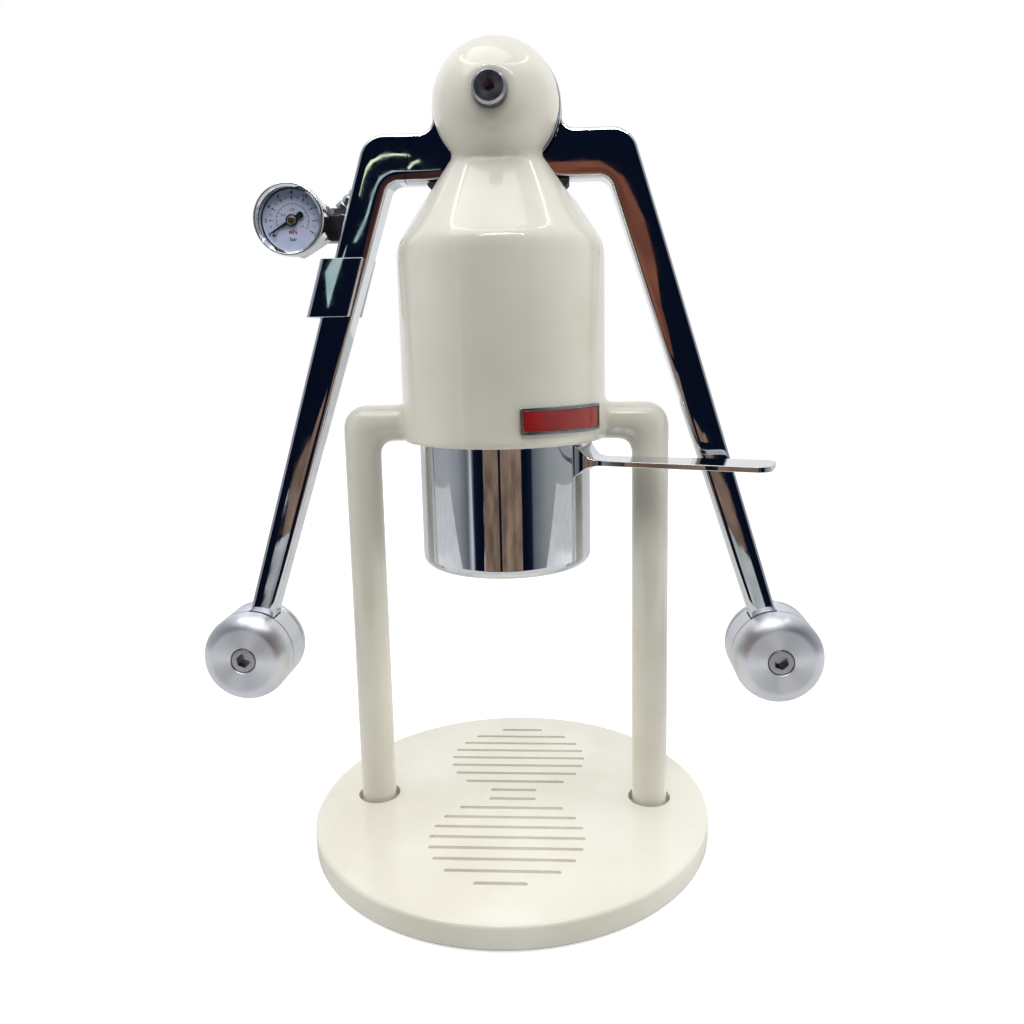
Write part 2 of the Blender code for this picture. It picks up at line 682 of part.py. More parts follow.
def make_base():
    centre = (0, -BASE_FORWARD, 0)
    edge = BASE_EDGE_RADIUS
    rim = arc((BASE_RADIUS - edge, BASE_TOP - edge), edge, math.pi / 2, 0, 2)
    rim += arc((BASE_RADIUS - edge, BASE_CLEARANCE + edge), edge, 0, -math.pi / 2, 1)
    base = turned("base_plate", [(0, BASE_TOP)] + rim + [(0, BASE_CLEARANCE)], centre, BODY_STEPS)
    mat_room = rod("mat_room", MAT_RADIUS + GAP, BASE_CLEARANCE - OVERRUN, MAT_THICKNESS + GAP, centre,
                   ROUND_STEPS)
    cut(base, mat_room)
    head_seat = SOCKET_FLOOR - SOCKET_WEB
    for side in (-1, 1):
        place = (side * LEG_REACH, 0, 0)
        cut(base, rod("leg_socket", LEG_RADIUS + SOCKET_CLEARANCE, SOCKET_FLOOR, BASE_TOP + OVERRUN, place, 24),
            rod("leg_screw_hole", LEG_SCREW_RADIUS + GAP, BASE_CLEARANCE, BASE_TOP, place),
            rod("leg_screw_room", LEG_SCREW_HEAD_RADIUS + GAP, BASE_CLEARANCE - OVERRUN, head_seat, place))
    field_centre = GROOVE_PITCH * GROOVE_COUNT / 4
    for index in range(GROOVE_COUNT):
        across = GROOVE_PITCH * (index - (GROOVE_COUNT - 1) / 2)
        from_centre = abs(across) - field_centre
        length = 2 * math.sqrt(GROOVE_FIELD_RADIUS ** 2 - from_centre ** 2)
        groove = plate("groove", rounded_bar(length, GROOVE_WIDTH), 2 * GROOVE_DEPTH, (0, across, BASE_TOP))
        cut(base, groove)
    finish(base, "cream_paint")
    finish(rod("base_mat", MAT_RADIUS, 0, MAT_THICKNESS, centre, ROUND_STEPS), "rubber")


def make_leg_screws():
    head_top = SOCKET_FLOOR - SOCKET_WEB - GAP
    head_bottom = head_top - LEG_SCREW_HEAD_HEIGHT
    end = SOCKET_FLOOR + LEG_SCREW_REACH
    profile = [(0, end), (LEG_SCREW_RADIUS, end), (LEG_SCREW_RADIUS, head_top), (LEG_SCREW_HEAD_RADIUS, head_top),
               (LEG_SCREW_HEAD_RADIUS, head_bottom), (0, head_bottom)]
    key_top = head_bottom + LEG_SCREW_HEAD_HEIGHT / 2
    for name, side in (("left_leg_screw", -1), ("right_leg_screw", 1)):
        place = (side * LEG_REACH, 0, 0)
        screw = turned(name, profile, place, SMALL_STEPS)
        cut(screw, rod("leg_screw_key", LEG_SCREW_KEY_RADIUS, head_bottom - OVERRUN, key_top, place, 6))
        finish(screw, "steel")


def leg_rings(side):
    # Each ring spans from the leg's inner to its outer edge, so a corner can be sharper outside than inside
    inner_edge = LEG_REACH - LEG_RADIUS
    outer_edge = LEG_REACH + LEG_RADIUS
    underside = LEG_SHOULDER_HEIGHT - LEG_RADIUS
    topside = LEG_SHOULDER_HEIGHT + LEG_RADIUS
    inner_centre = (inner_edge - LEG_INNER_CORNER, underside - LEG_INNER_CORNER)
    outer_centre = (outer_edge - LEG_OUTER_CORNER, topside - LEG_OUTER_CORNER)
    inner_arc = arc(inner_centre, LEG_INNER_CORNER, 0, math.pi / 2, LEG_CORNER_STEPS)
    outer_arc = arc(outer_centre, LEG_OUTER_CORNER, 0, math.pi / 2, LEG_CORNER_STEPS)
    bend_start = inner_centre[1] - LEG_TILT_RUN
    ends = [((inner_edge, LEG_FOOT), (outer_edge, LEG_FOOT)), ((inner_edge, bend_start), (outer_edge, bend_start))]
    ends += list(zip(inner_arc, outer_arc))
    root = BODY_RADIUS - BODY_WALL / 2
    ends.append(((root, underside), (root, topside)))
    rings = []
    for inner, outer in ends:
        ring = []
        for index in range(LEG_SIDES):
            angle = 2 * math.pi * index / LEG_SIDES
            share = (1 - math.cos(angle)) / 2
            along = inner[0] + (outer[0] - inner[0]) * share
            height = inner[1] + (outer[1] - inner[1]) * share
            ring.append((side * along, LEG_RADIUS * math.sin(angle), height))
        rings.append(ring)
    return rings


def loft(name, rings):
    bm = bmesh.new()
    loops = [[bm.verts.new(point) for point in ring] for ring in rings]
    count = len(loops[0])
    for lower, upper in zip(loops, loops[1:]):
        for index in range(count):
            after = (index + 1) % count
            bm.faces.new((lower[index], lower[after], upper[after], upper[index]))
    bm.faces.new(loops[0])
    bm.faces.new(loops[-1])
    return from_bmesh(name, bm)


def make_body():
    shoulder = round_corner((NECK_RADIUS, NECK_HEIGHT), (BODY_RADIUS, SHOULDER_HEIGHT), (BODY_RADIUS, BODY_BOTTOM),
                            SHOULDER_ROUND, 3)
    rim = arc((BODY_RADIUS - BODY_RIM_RADIUS, BODY_BOTTOM + BODY_RIM_RADIUS), BODY_RIM_RADIUS, 0, -math.pi / 2, 1)
    passage = ROD_RADIUS + ROD_PASSAGE_CLEARANCE
    bush_room = ROD_BUSH_RADIUS + GAP
    bush_top = BUSH_BOSS_BOTTOM + ROD_BUSH_LENGTH
    inside = [(CAVITY_RADIUS, BODY_BOTTOM), (CAVITY_RADIUS, CAVITY_SHOULDER), (CAVITY_TOP_RADIUS, CAVITY_TOP),
              (BUSH_BOSS_RADIUS, CAVITY_TOP), (BUSH_BOSS_RADIUS, BUSH_BOSS_BOTTOM), (bush_room, BUSH_BOSS_BOTTOM),
              (bush_room, bush_top), (passage, bush_top), (passage, NECK_TOP)]
    profile = [(NECK_TOP_RADIUS, NECK_TOP), (NECK_RADIUS, NECK_HEIGHT)] + shoulder + rim + inside
    body = turned("body_casting", profile, steps=BODY_STEPS)
    seat = AXLE_CAP_RADIUS + GAP
    bore = AXLE_RADIUS + GAP
    start = math.acos(seat / HEAD_RADIUS)
    front = arc((0, HEAD_OFFSET), HEAD_RADIUS, start, 0, 6)
    back = arc((0, -HEAD_OFFSET), HEAD_RADIUS, 0, -start, 6)
    bores = [(seat, -AXLE_SEAT), (bore, -AXLE_SEAT), (bore, AXLE_SEAT), (seat, AXLE_SEAT)]
    head = turned("head", front + back + bores, (0, 0, AXLE_HEIGHT), ROUND_STEPS, FRONT_FACING)
    join(body, head, loft("left_leg", leg_rings(-1)), loft("right_leg", leg_rings(1)))
    reach = ELBOW_REACH
    cut(body, box("hub_slot", (-reach, -SLOT_HALF, SLOT_FLOOR),
                  (reach, SLOT_HALF, AXLE_HEIGHT + HEAD_RADIUS + OVERRUN)))
    room = YOKE_THICKNESS / 2 + YOKE_ROOM
    web = YOKE_WEB_REACH + YOKE_ROOM
    cut(body, box("yoke_pocket", (-web, -room, PIN_LEVEL + YOKE_WEB_BOTTOM - YOKE_ROOM), (web, room, AXLE_HEIGHT)))
    cut(body, rod("hose_hole", GROMMET_NECK_RADIUS + GAP, -BODY_RADIUS - OVERRUN, OVERRUN - CAVITY_RADIUS,
                  (0, 0, GROMMET_HEIGHT), SMALL_STEPS, FRONT_FACING))
    for side in (-1, 1):
        cut(body, rod("leg_thread", LEG_SCREW_RADIUS + GAP, 0, SOCKET_FLOOR + LEG_SCREW_REACH + GAP,
                      (side * LEG_REACH, 0, 0)))
    finish(body, "cream_paint")


def make_locking_ring():
    bottom = BODY_BOTTOM + RING_BOTTOM_INSET
    outer = CAVITY_RADIUS - GAP
    inner = outer - RING_LIP
    ring = turned("locking_ring", [(outer, RING_TOP), (outer, bottom), (inner, bottom), (inner, RING_TOP)])
    middle = (bottom + RING_TOP) / 2
    for angle in LUG_ANGLES:
        centre = angle - LOCK_ANGLE
        gate = sector(inner - OVERRUN, outer - RING_LIP / 4, centre - LUG_GAP_HALF_ANGLE,
                      centre + LUG_GAP_HALF_ANGLE, 6)
        cut(ring, plate("lug_gate", gate, RING_HEIGHT + OVERRUN, (0, 0, middle)))
    finish(ring, "steel")


def make_badge():
    middle = (0, 0, BADGE_BOTTOM + BADGE_HEIGHT / 2)
    inner = BODY_RADIUS + GAP
    outer = inner + BADGE_THICKNESS
    side = BADGE_BORDER / BODY_RADIUS
    field_height = BADGE_HEIGHT - 2 * BADGE_BORDER
    frame = plate("badge_frame", sector(inner, outer, BADGE_START, BADGE_END, 10), BADGE_HEIGHT, middle)
    window = sector(inner - OVERRUN, outer + OVERRUN, BADGE_START + side, BADGE_END - side, 10)
    cut(frame, plate("badge_window", window, field_height, middle))
    finish(frame, "badge_silver")
    side += GAP / BODY_RADIUS
    field = sector(inner, outer - BADGE_FIELD_SINK, BADGE_START + side, BADGE_END - side, 10)
    finish(plate("badge_field", field, field_height - 2 * GAP, middle), "badge_red")


def make_axle():
    seat = AXLE_SEAT + GAP
    face = seat + AXLE_CAP_HEIGHT
    chamfer = AXLE_CAP_CHAMFER
    rear = -AXLE_SEAT
    end = rear - AXLE_THREAD_LENGTH
    profile = [(0, face), (AXLE_CAP_RADIUS - chamfer, face), (AXLE_CAP_RADIUS, face - chamfer),
               (AXLE_CAP_RADIUS, seat), (AXLE_RADIUS, seat), (AXLE_RADIUS, rear),
               (AXLE_THREAD_RADIUS, rear), (AXLE_THREAD_RADIUS, end), (0, end)]
    place = (0, 0, AXLE_HEIGHT)
    axle = turned("axle", profile, place, KNOB_STEPS, FRONT_FACING)
    cut(axle, hexagon_socket("axle_key", AXLE_KEY_RADIUS, AXLE_KEY_DEPTH, face, place))
    finish(axle, "steel")
    bore = AXLE_THREAD_RADIUS + GAP
    nut = [(0, end - GAP), (bore, end - GAP), (bore, -seat), (AXLE_CAP_RADIUS, -seat),
           (AXLE_CAP_RADIUS, chamfer - face), (AXLE_CAP_RADIUS - chamfer, -face), (0, -face)]
    finish(turned("axle_nut", nut, place, KNOB_STEPS, FRONT_FACING), "steel")


def arm_outline():
    # The right arm seen from the front, measured from the axle
    top = -ROOT_DROP
    bottom = -ROOT_DROP - ROOT_HEIGHT
    fillet_height = top + ROOT_FILLET
    fillet_reach = math.sqrt((HUB_RADIUS + ROOT_FILLET) ** 2 - fillet_height ** 2)
    fillet_touch = math.atan2(-fillet_height, -fillet_reach)
    outline = arc((fillet_reach, fillet_height), ROOT_FILLET, fillet_touch, 3 * math.pi / 2, 4)
    elbow = (ELBOW_REACH, top)
    knob = (KNOB_REACH, -KNOB_DROP)
    end_radius = BAR_END_WIDTH / 2
    outer = tangent_point(elbow, knob, end_radius, 1)
    outline += round_corner((fillet_reach, top), elbow, outer, ELBOW_RADIUS, 6)
    inner_elbow = (INNER_ELBOW_REACH, bottom)
    inner = tangent_point(inner_elbow, knob, end_radius, -1)
    outline += clockwise_arc(knob, end_radius, outer, inner, 6)
    underside = (UNDERSIDE_REACH, bottom)
    outline += round_corner(inner, inner_elbow, underside, INNER_ELBOW_RADIUS, 4)
    hub_touch = tangent_point(underside, (0, 0), HUB_RADIUS, 1)
    around = clockwise_arc((0, 0), HUB_RADIUS, hub_touch, (fillet_reach, fillet_height), 26)
    return outline + [underside] + around[:-1]


def arm_blank(name, side):
    # Full thickness at the hub, thinning evenly towards the knob
    blank = plate(name, arm_outline(), ARM_THICKNESS)
    bm = bmesh.new()
    bm.from_mesh(blank.data)
    bmesh.ops.dissolve_limit(bm, angle_limit=math.radians(1), verts=bm.verts, edges=bm.edges)
    bmesh.ops.bisect_plane(bm, geom=bm.verts[:] + bm.edges[:] + bm.faces[:], dist=WELD_DISTANCE,
                           plane_co=(0, -TAPER_DROP, 0), plane_no=(0, 1, 0))
    loss = 1 - ARM_END_THICKNESS / ARM_THICKNESS
    for vertex in bm.verts:
        below = max(0, -TAPER_DROP - vertex.co.y)
        vertex.co.z *= 1 - loss * below / (KNOB_DROP - TAPER_DROP)
        vertex.co.x *= side
    bmesh.ops.recalc_face_normals(bm, faces=bm.faces)
    bm.to_mesh(blank.data)
    bm.free()
    blank.location = (0, 0, AXLE_HEIGHT)
    blank.rotation_euler = FRONT_FACING
    return round_edges(blank, ARM_EDGE_RADIUS)


def hub_holes(side, low, high):
    place = (side * CRANK_REACH, 0, PIN_LEVEL)
    bore = AXLE_RADIUS + GAP + BUSH_WALL + GAP
    return (rod("hub_bore", bore, low, high, (0, 0, AXLE_HEIGHT), 24, FRONT_FACING),
            rod("crank_hole", CRANK_PIN_RADIUS + GAP, low, high, place, SMALL_STEPS, FRONT_FACING))


def seam_side(name, side, low, high):
    # A block on one side of the left arm's joint line, between two depths
    far = KNOB_DROP + KNOB_RADIUS
    near = -side * GAP / 2
    span = sorted((near, side * far))
    lean = Matrix.Rotation(SEAM_LEAN, 4, "Y")
    block = box(name, (span[0], low, -far), (span[1], high, far))
    block.data.transform(lean)
    block.location = (-SEAM_REACH, 0, AXLE_HEIGHT - ROOT_DROP - ROOT_HEIGHT / 2)
    return block


def make_right_arm():
    arm = arm_blank("right_arm", 1)
    place = (0, 0, AXLE_HEIGHT)
    deep = ARM_THICKNESS / 2 + OVERRUN
    inside = HUB_RADIUS + OVERRUN
    cut(arm, rod("front_lap", HUB_RADIUS + LAP_CLEARANCE, LAP_HALF, deep, place, ROUND_STEPS, FRONT_FACING),
        rod("yoke_room", YOKE_ROOM_RADIUS, -LAP_HALF, LAP_HALF + GAP, place, ROUND_STEPS, FRONT_FACING),
        box("yoke_room_side", (-inside, -LAP_HALF - GAP / 2, -inside), (YOKE_ROOM_REACH, LAP_HALF, inside), place))
    cut(arm, *hub_holes(1, -deep, deep))
    cut(arm, rod("knob_hole", KNOB_SCREW_RADIUS + GAP, -deep, deep, (KNOB_REACH, 0, KNOB_HEIGHT),
                 SMALL_STEPS, FRONT_FACING))
    finish(arm, "polished_chrome", right_axis)


def joint_screw_places():
    middle = AXLE_HEIGHT - ROOT_DROP - ROOT_HEIGHT / 2
    return [(-JOINT_SCREW_REACH, 0, middle + side * JOINT_SCREW_SPREAD / 2) for side in (-1, 1)]


def make_left_arm():
    place = (0, 0, AXLE_HEIGHT)
    deep = ARM_THICKNESS / 2 + OVERRUN
    inside = HUB_RADIUS + OVERRUN
    hub = arm_blank("left_hub", -1)
    far = ELBOW_REACH + KNOB_REACH
    cut(hub, rod("rear_lap", YOKE_ROOM_RADIUS, -deep, LAP_HALF, place, ROUND_STEPS, FRONT_FACING),
        box("rear_lap_side", (-YOKE_ROOM_REACH, -LAP_HALF, -inside), (inside, deep, inside), place),
        box("rear_half", (-far, 0, -far), (0, deep, far), place),
        seam_side("hub_side_of_seam", -1, -deep, deep))
    cut(hub, *hub_holes(-1, -deep, deep))
    arm = arm_blank("left_arm", -1)
    cut(arm, seam_side("arm_side_of_seam", 1, -deep, GAP),
        rod("lap_room", YOKE_ROOM_RADIUS + GAP, -deep, deep, place, ROUND_STEPS, FRONT_FACING),
        box("lap_room_side", (-YOKE_ROOM_REACH - GAP, -deep - GAP, -inside), (inside, deep + GAP, inside), place))
    cut(arm, rod("knob_hole", KNOB_SCREW_RADIUS + GAP, -deep, deep, (-KNOB_REACH, 0, KNOB_HEIGHT),
                 SMALL_STEPS, FRONT_FACING))
    rear = -ARM_THICKNESS / 2 + CRANK_PIN_RECESS
    seat = rear + JOINT_SCREW_HEAD_HEIGHT
    screws = []
    names = ("lower_joint_screw", "upper_joint_screw")
    for name, spot in zip(names, joint_screw_places()):
        hole = rod("joint_screw_hole", JOINT_SCREW_RADIUS + GAP, -deep, JOINT_SCREW_DEPTH + GAP, spot,
                   SMALL_STEPS, FRONT_FACING)
        head_room = rod("joint_head_room", JOINT_SCREW_HEAD_RADIUS + GAP, -deep, seat + GAP, spot,
                        SMALL_STEPS, FRONT_FACING)
        cut(arm, hole, head_room)
        cut(hub, hole)
        profile = [(0, JOINT_SCREW_DEPTH), (JOINT_SCREW_RADIUS, JOINT_SCREW_DEPTH), (JOINT_SCREW_RADIUS, seat),
                   (JOINT_SCREW_HEAD_RADIUS, seat), (JOINT_SCREW_HEAD_RADIUS, rear), (0, rear)]
        screws.append(turned(name, profile, spot, SMALL_STEPS, FRONT_FACING))
    finish(hub, "polished_chrome", left_axis)
    finish(arm, "polished_chrome", left_axis)
    for screw in screws:
        finish(screw, "steel", left_axis)


def make_hub_fittings():
    # The left hub laps in front, the right hub behind
    inner = AXLE_RADIUS + GAP
    outer = inner + BUSH_WALL
    outside = ARM_THICKNESS / 2
    reach = YOKE_THICKNESS / 2
    for name, side, carrier in (("left", -1, left_axis), ("right", 1, right_axis)):
        low, high = sorted((-side * LAP_HALF, -side * outside))
        bush = [(outer, high), (outer, low), (inner, low), (inner, high)]
        made = turned(name + "_hub_bush", bush, (0, 0, AXLE_HEIGHT), 24, FRONT_FACING)
        finish(made, "bronze", carrier)
        low, high = sorted((side * reach, -side * (outside - CRANK_PIN_RECESS)))
        pin = rod(name + "_crank_pin", CRANK_PIN_RADIUS, low, high, (side * CRANK_REACH, 0, PIN_LEVEL),
                  SMALL_STEPS, FRONT_FACING)
        finish(pin, "steel", carrier)


def make_arm_stops():
    side_room = SLOT_HALF - STOP_SIDE_CLEARANCE
    top = AXLE_HEIGHT - ROOT_DROP - ROOT_HEIGHT - GAP
    for name, start in (("left_arm_stop", -STOP_INNER_REACH - STOP_LENGTH), ("right_arm_stop", STOP_INNER_REACH)):
        stop = box(name, (start, -side_room, SLOT_FLOOR + GAP), (start + STOP_LENGTH, side_room, top))
        finish(stop, "rubber")


def make_knob(name, side, carrier):
    place = (side * KNOB_REACH, 0, KNOB_HEIGHT)
    head_room = KNOB_SCREW_HEAD_RADIUS + GAP
    hole = KNOB_SCREW_RADIUS + GAP
    chamfer = KNOB_EDGE_CHAMFER
    screw_face = KNOB_FRONT - KNOB_SCREW_SINK
    head_seat = screw_face - KNOB_SCREW_HEAD_HEIGHT
    shoulder_width = KNOB_RADIUS - KNOB_FACE_RADIUS
    shoulder = [(KNOB_FACE_RADIUS + shoulder_width * math.sin(angle),
                 KNOB_FRONT - KNOB_SHOULDER_DEPTH * (1 - math.cos(angle)))
                for angle in (math.pi / 2 * step / 4 for step in range(5))]
    front = [(head_room, KNOB_FRONT)] + shoulder + [
        (KNOB_RADIUS, KNOB_FRONT_SEAT + chamfer), (KNOB_RADIUS - chamfer, KNOB_FRONT_SEAT),
        (hole, KNOB_FRONT_SEAT), (hole, head_seat - GAP), (head_room, head_seat - GAP)]
    finish(turned(name + "_knob_front", front, place, KNOB_STEPS, FRONT_FACING), "brushed_aluminium", carrier)
    high = KNOB_FRONT_SEAT - GAP
    low = -KNOB_REAR_SEAT
    groove = KNOB_GROOVE_DEPTH
    rear = [(KNOB_RADIUS - chamfer, high), (KNOB_RADIUS, high - chamfer), (KNOB_RADIUS, low + groove),
            (KNOB_RADIUS - groove, low), (hole, low), (hole, high)]
    disc = turned(name + "_knob_rear", rear, place, KNOB_STEPS, FRONT_FACING)
    half_width = BAR_END_WIDTH / 2 + 2 * KNOB_SLOT_CLEARANCE
    half_depth = ARM_END_THICKNESS / 2 + KNOB_SLOT_CLEARANCE
    elbow_middle = (ELBOW_REACH + INNER_ELBOW_REACH) / 2
    lean = math.atan2(side * (KNOB_REACH - elbow_middle), KNOB_DROP - ROOT_DROP - ROOT_HEIGHT / 2)
    arm_slot = box("arm_slot", (-half_width, -high - OVERRUN, -half_width),
                   (half_width, half_depth, KNOB_RADIUS + OVERRUN), place, (0, -lean, 0))
    cut(disc, arm_slot)
    finish(disc, "brushed_aluminium", carrier)
    top = low - GAP
    bottom = top - KNOB_CAP_THICKNESS
    blind = top - KNOB_THREAD_DEPTH - GAP
    cap = [(0, blind), (hole, blind), (hole, top), (KNOB_RADIUS - groove, top), (KNOB_RADIUS, top - groove),
           (KNOB_RADIUS, bottom + chamfer), (KNOB_RADIUS - chamfer, bottom), (0, bottom)]
    finish(turned(name + "_knob_cap", cap, place, KNOB_STEPS, FRONT_FACING), "brushed_aluminium", carrier)
    screw = [(0, screw_face), (KNOB_SCREW_HEAD_RADIUS, screw_face), (KNOB_SCREW_HEAD_RADIUS, head_seat),
             (KNOB_SCREW_RADIUS, head_seat), (KNOB_SCREW_RADIUS, blind + GAP), (0, blind + GAP)]
    bolt = turned(name + "_knob_screw", screw, place, 24, FRONT_FACING)
    cut(bolt, hexagon_socket("knob_key", KNOB_KEY_RADIUS, KNOB_KEY_DEPTH, screw_face, place))
    finish(bolt, "steel", carrier)


def make_yoke():
    # Open slots on both sides take the crank pins; the gap between the prongs straddles the axle
    slot = YOKE_SLOT_HALF
    top = slot + YOKE_PRONG
    prong_bottom = -slot - YOKE_PRONG
    corner = YOKE_SLOT_START + CRANK_PIN_RADIUS / 3
    half = [(YOKE_OPENING_RADIUS, top), (YOKE_REACH - YOKE_CORNER / 2, top), (YOKE_REACH, top - YOKE_CORNER / 2),
            (YOKE_REACH, slot), (corner, slot), (YOKE_SLOT_START, slot / 2), (YOKE_SLOT_START, -slot / 2),
            (corner, -slot), (YOKE_REACH, -slot), (YOKE_REACH - YOKE_CORNER, prong_bottom),
            (YOKE_WEB_REACH, prong_bottom), (YOKE_WEB_REACH, YOKE_WEB_BOTTOM + YOKE_CORNER),
            (YOKE_WEB_REACH - YOKE_CORNER, YOKE_WEB_BOTTOM), (YOKE_STEM_HALF_WIDTH, YOKE_WEB_BOTTOM - YOKE_ROOM / 2),
            (YOKE_STEM_HALF_WIDTH, YOKE_STEM_BOTTOM)]
    mirrored = [(-reach, height) for reach, height in reversed(half)]
    opening = arc((0, -YOKE_OPENING_CENTRE), YOKE_OPENING_RADIUS, math.pi, 2 * math.pi, 8)
    yoke = plate("yoke", half + mirrored + opening, YOKE_THICKNESS, (0, 0, PIN_LEVEL), FRONT_FACING)
    pin_place = (0, 0, YOKE_PIN_HEIGHT)
    hole = rod("yoke_pin_hole", YOKE_PIN_RADIUS + GAP, -ROD_RADIUS - OVERRUN, ROD_RADIUS + OVERRUN, pin_place,
               SMALL_STEPS, FRONT_FACING)
    cut(yoke, hole)
    finish(yoke, "steel", piston_axis)
    pin_half = ROD_RADIUS - GAP
    finish(rod("yoke_pin", YOKE_PIN_RADIUS, -pin_half, pin_half, pin_place, SMALL_STEPS, FRONT_FACING),
           "steel", piston_axis)
    thread = PISTON_SCREW_RADIUS + GAP
    thread_top = PISTON_BOTTOM + PISTON_SCREW_REACH + GAP
    profile = [(0, ROD_TOP), (ROD_RADIUS, ROD_TOP), (ROD_RADIUS, ROD_END), (thread, ROD_END),
               (thread, thread_top), (0, thread_top)]
    shaft = turned("piston_rod", profile, steps=24)
    fork = YOKE_THICKNESS / 2 + GAP
    side = ROD_RADIUS + OVERRUN
    cut(shaft, box("rod_fork", (-side, -fork, ROD_FORK_FLOOR), (side, fork, ROD_TOP + OVERRUN)), hole)
    finish(shaft, "stainless", piston_axis)


def make_rod_bush():
    inner = ROD_RADIUS + GAP
    top = BUSH_BOSS_BOTTOM + ROD_BUSH_LENGTH - GAP
    flange_top = BUSH_BOSS_BOTTOM - GAP
    bottom = flange_top - ROD_BUSH_FLANGE_HEIGHT
    profile = [(ROD_BUSH_RADIUS, top), (ROD_BUSH_RADIUS, flange_top), (ROD_BUSH_FLANGE, flange_top),
               (ROD_BUSH_FLANGE, bottom), (inner, bottom), (inner, top)]
    finish(turned("rod_bush", profile, steps=24), "bronze")


def make_piston():
    groove = PISTON_RADIUS - SEAL_GROOVE_DEPTH
    seal_low = PISTON_BOTTOM + (PISTON_HEIGHT - SEAL_HEIGHT) / 2
    seal_high = seal_low + SEAL_HEIGHT
    profile = [(PISTON_RADIUS, PISTON_TOP), (PISTON_RADIUS, seal_high + GAP), (groove, seal_high + GAP),
               (groove, seal_low - GAP), (PISTON_RADIUS, seal_low - GAP)]
    hole = PISTON_SCREW_RADIUS + GAP
    rod_hole = ROD_RADIUS + GAP
    profile += [(PISTON_RADIUS, PISTON_BOTTOM), (hole, PISTON_BOTTOM), (hole, ROD_END - GAP),
                (rod_hole, ROD_END - GAP), (rod_hole, PISTON_TOP)]
    finish(turned("piston_head", profile), "stainless", piston_axis)
    seal_outer = BASKET_INNER_RADIUS - GAP
    ring = [(seal_outer, seal_high), (seal_outer, seal_low), (groove + GAP, seal_low), (groove + GAP, seal_high)]
    finish(turned("piston_seal", ring), "silicone", piston_axis)
    screen_top = PISTON_BOTTOM - GAP
    screen_bottom = screen_top - PISTON_SCREEN_THICKNESS
    edge = PISTON_RADIUS - PISTON_SCREEN_INSET
    screen = [(edge, screen_top), (edge, screen_bottom), (hole, screen_bottom), (hole, screen_top)]
    finish(turned("piston_screen", screen), "stainless", piston_axis)
    head_top = screen_bottom - GAP
    head_bottom = head_top - PISTON_SCREW_HEAD_HEIGHT
    end = PISTON_BOTTOM + PISTON_SCREW_REACH
    screw = [(0, end), (PISTON_SCREW_RADIUS, end), (PISTON_SCREW_RADIUS, head_top),
             (PISTON_SCREW_HEAD_RADIUS, head_top), (PISTON_SCREW_HEAD_RADIUS, head_bottom), (0, head_bottom)]
    bolt = turned("piston_screw", screw, steps=24)
    key_top = head_bottom + PISTON_SCREW_HEAD_HEIGHT / 2
    cut(bolt, rod("piston_key", PISTON_SCREW_RADIUS, head_bottom - OVERRUN, key_top, steps=6))
    finish(bolt, "steel", piston_axis)
    seat = PISTON_TOP + GAP
    fitting = rod("piston_fitting", PISTON_FITTING_RADIUS, seat, seat + PISTON_FITTING_HEIGHT,
                  (0, PISTON_FITTING_BACK, 0))
    finish(fitting, "steel", piston_axis)


def make_portafilter():
    inner = CUP_RADIUS - CUP_WALL
    floor_top = CUP_BOTTOM + CUP_FLOOR
    edge = arc((CUP_RADIUS - CUP_EDGE_RADIUS, CUP_BOTTOM + CUP_EDGE_RADIUS), CUP_EDGE_RADIUS, 0, -math.pi / 2, 5)
    profile = [(CUP_RADIUS, CUP_TOP)] + edge + [
        (CUP_SPOUT_RADIUS, CUP_BOTTOM), (CUP_SPOUT_RADIUS, floor_top), (inner, floor_top), (inner, CUP_TOP)]
    cup = turned("portafilter_cup", profile)
    lug_low = RING_TOP + GAP
    lug_outer = CAVITY_RADIUS - LUG_SIDE_CLEARANCE
    for angle in LUG_ANGLES:
        lug = sector(inner + CUP_WALL / 2, lug_outer, angle - LUG_HALF_ANGLE, angle + LUG_HALF_ANGLE, 6)
        join(cup, plate("lug", lug, LUG_HEIGHT, (0, 0, lug_low + LUG_HEIGHT / 2)))
    finish(cup, "polished_chrome", lock_axis)
    outer = BASKET_INNER_RADIUS + BASKET_WALL
    flange = CUP_RADIUS - GAP
    seat = CUP_TOP + GAP
    flange_top = seat + BASKET_FLANGE_THICKNESS
    basket_floor = BASKET_BOTTOM + BASKET_WALL
    basket = [(flange, flange_top), (flange, seat), (outer, seat), (outer, BASKET_BOTTOM + BASKET_CORNER),
              (outer - BASKET_CORNER, BASKET_BOTTOM), (0, BASKET_BOTTOM)]
    inside = [(0, basket_floor), (BASKET_INNER_RADIUS - BASKET_CORNER / 3, basket_floor),
              (BASKET_INNER_RADIUS, basket_floor + BASKET_CORNER / 3), (BASKET_INNER_RADIUS, flange_top)]
    finish(turned("filter_basket", inside + basket), "stainless", lock_axis)
    screen_low = basket_floor + GAP
    screen = rod("coffee_screen", SCREEN_RADIUS, screen_low, screen_low + SCREEN_THICKNESS, steps=ROUND_STEPS)
    finish(screen, "stainless", lock_axis)


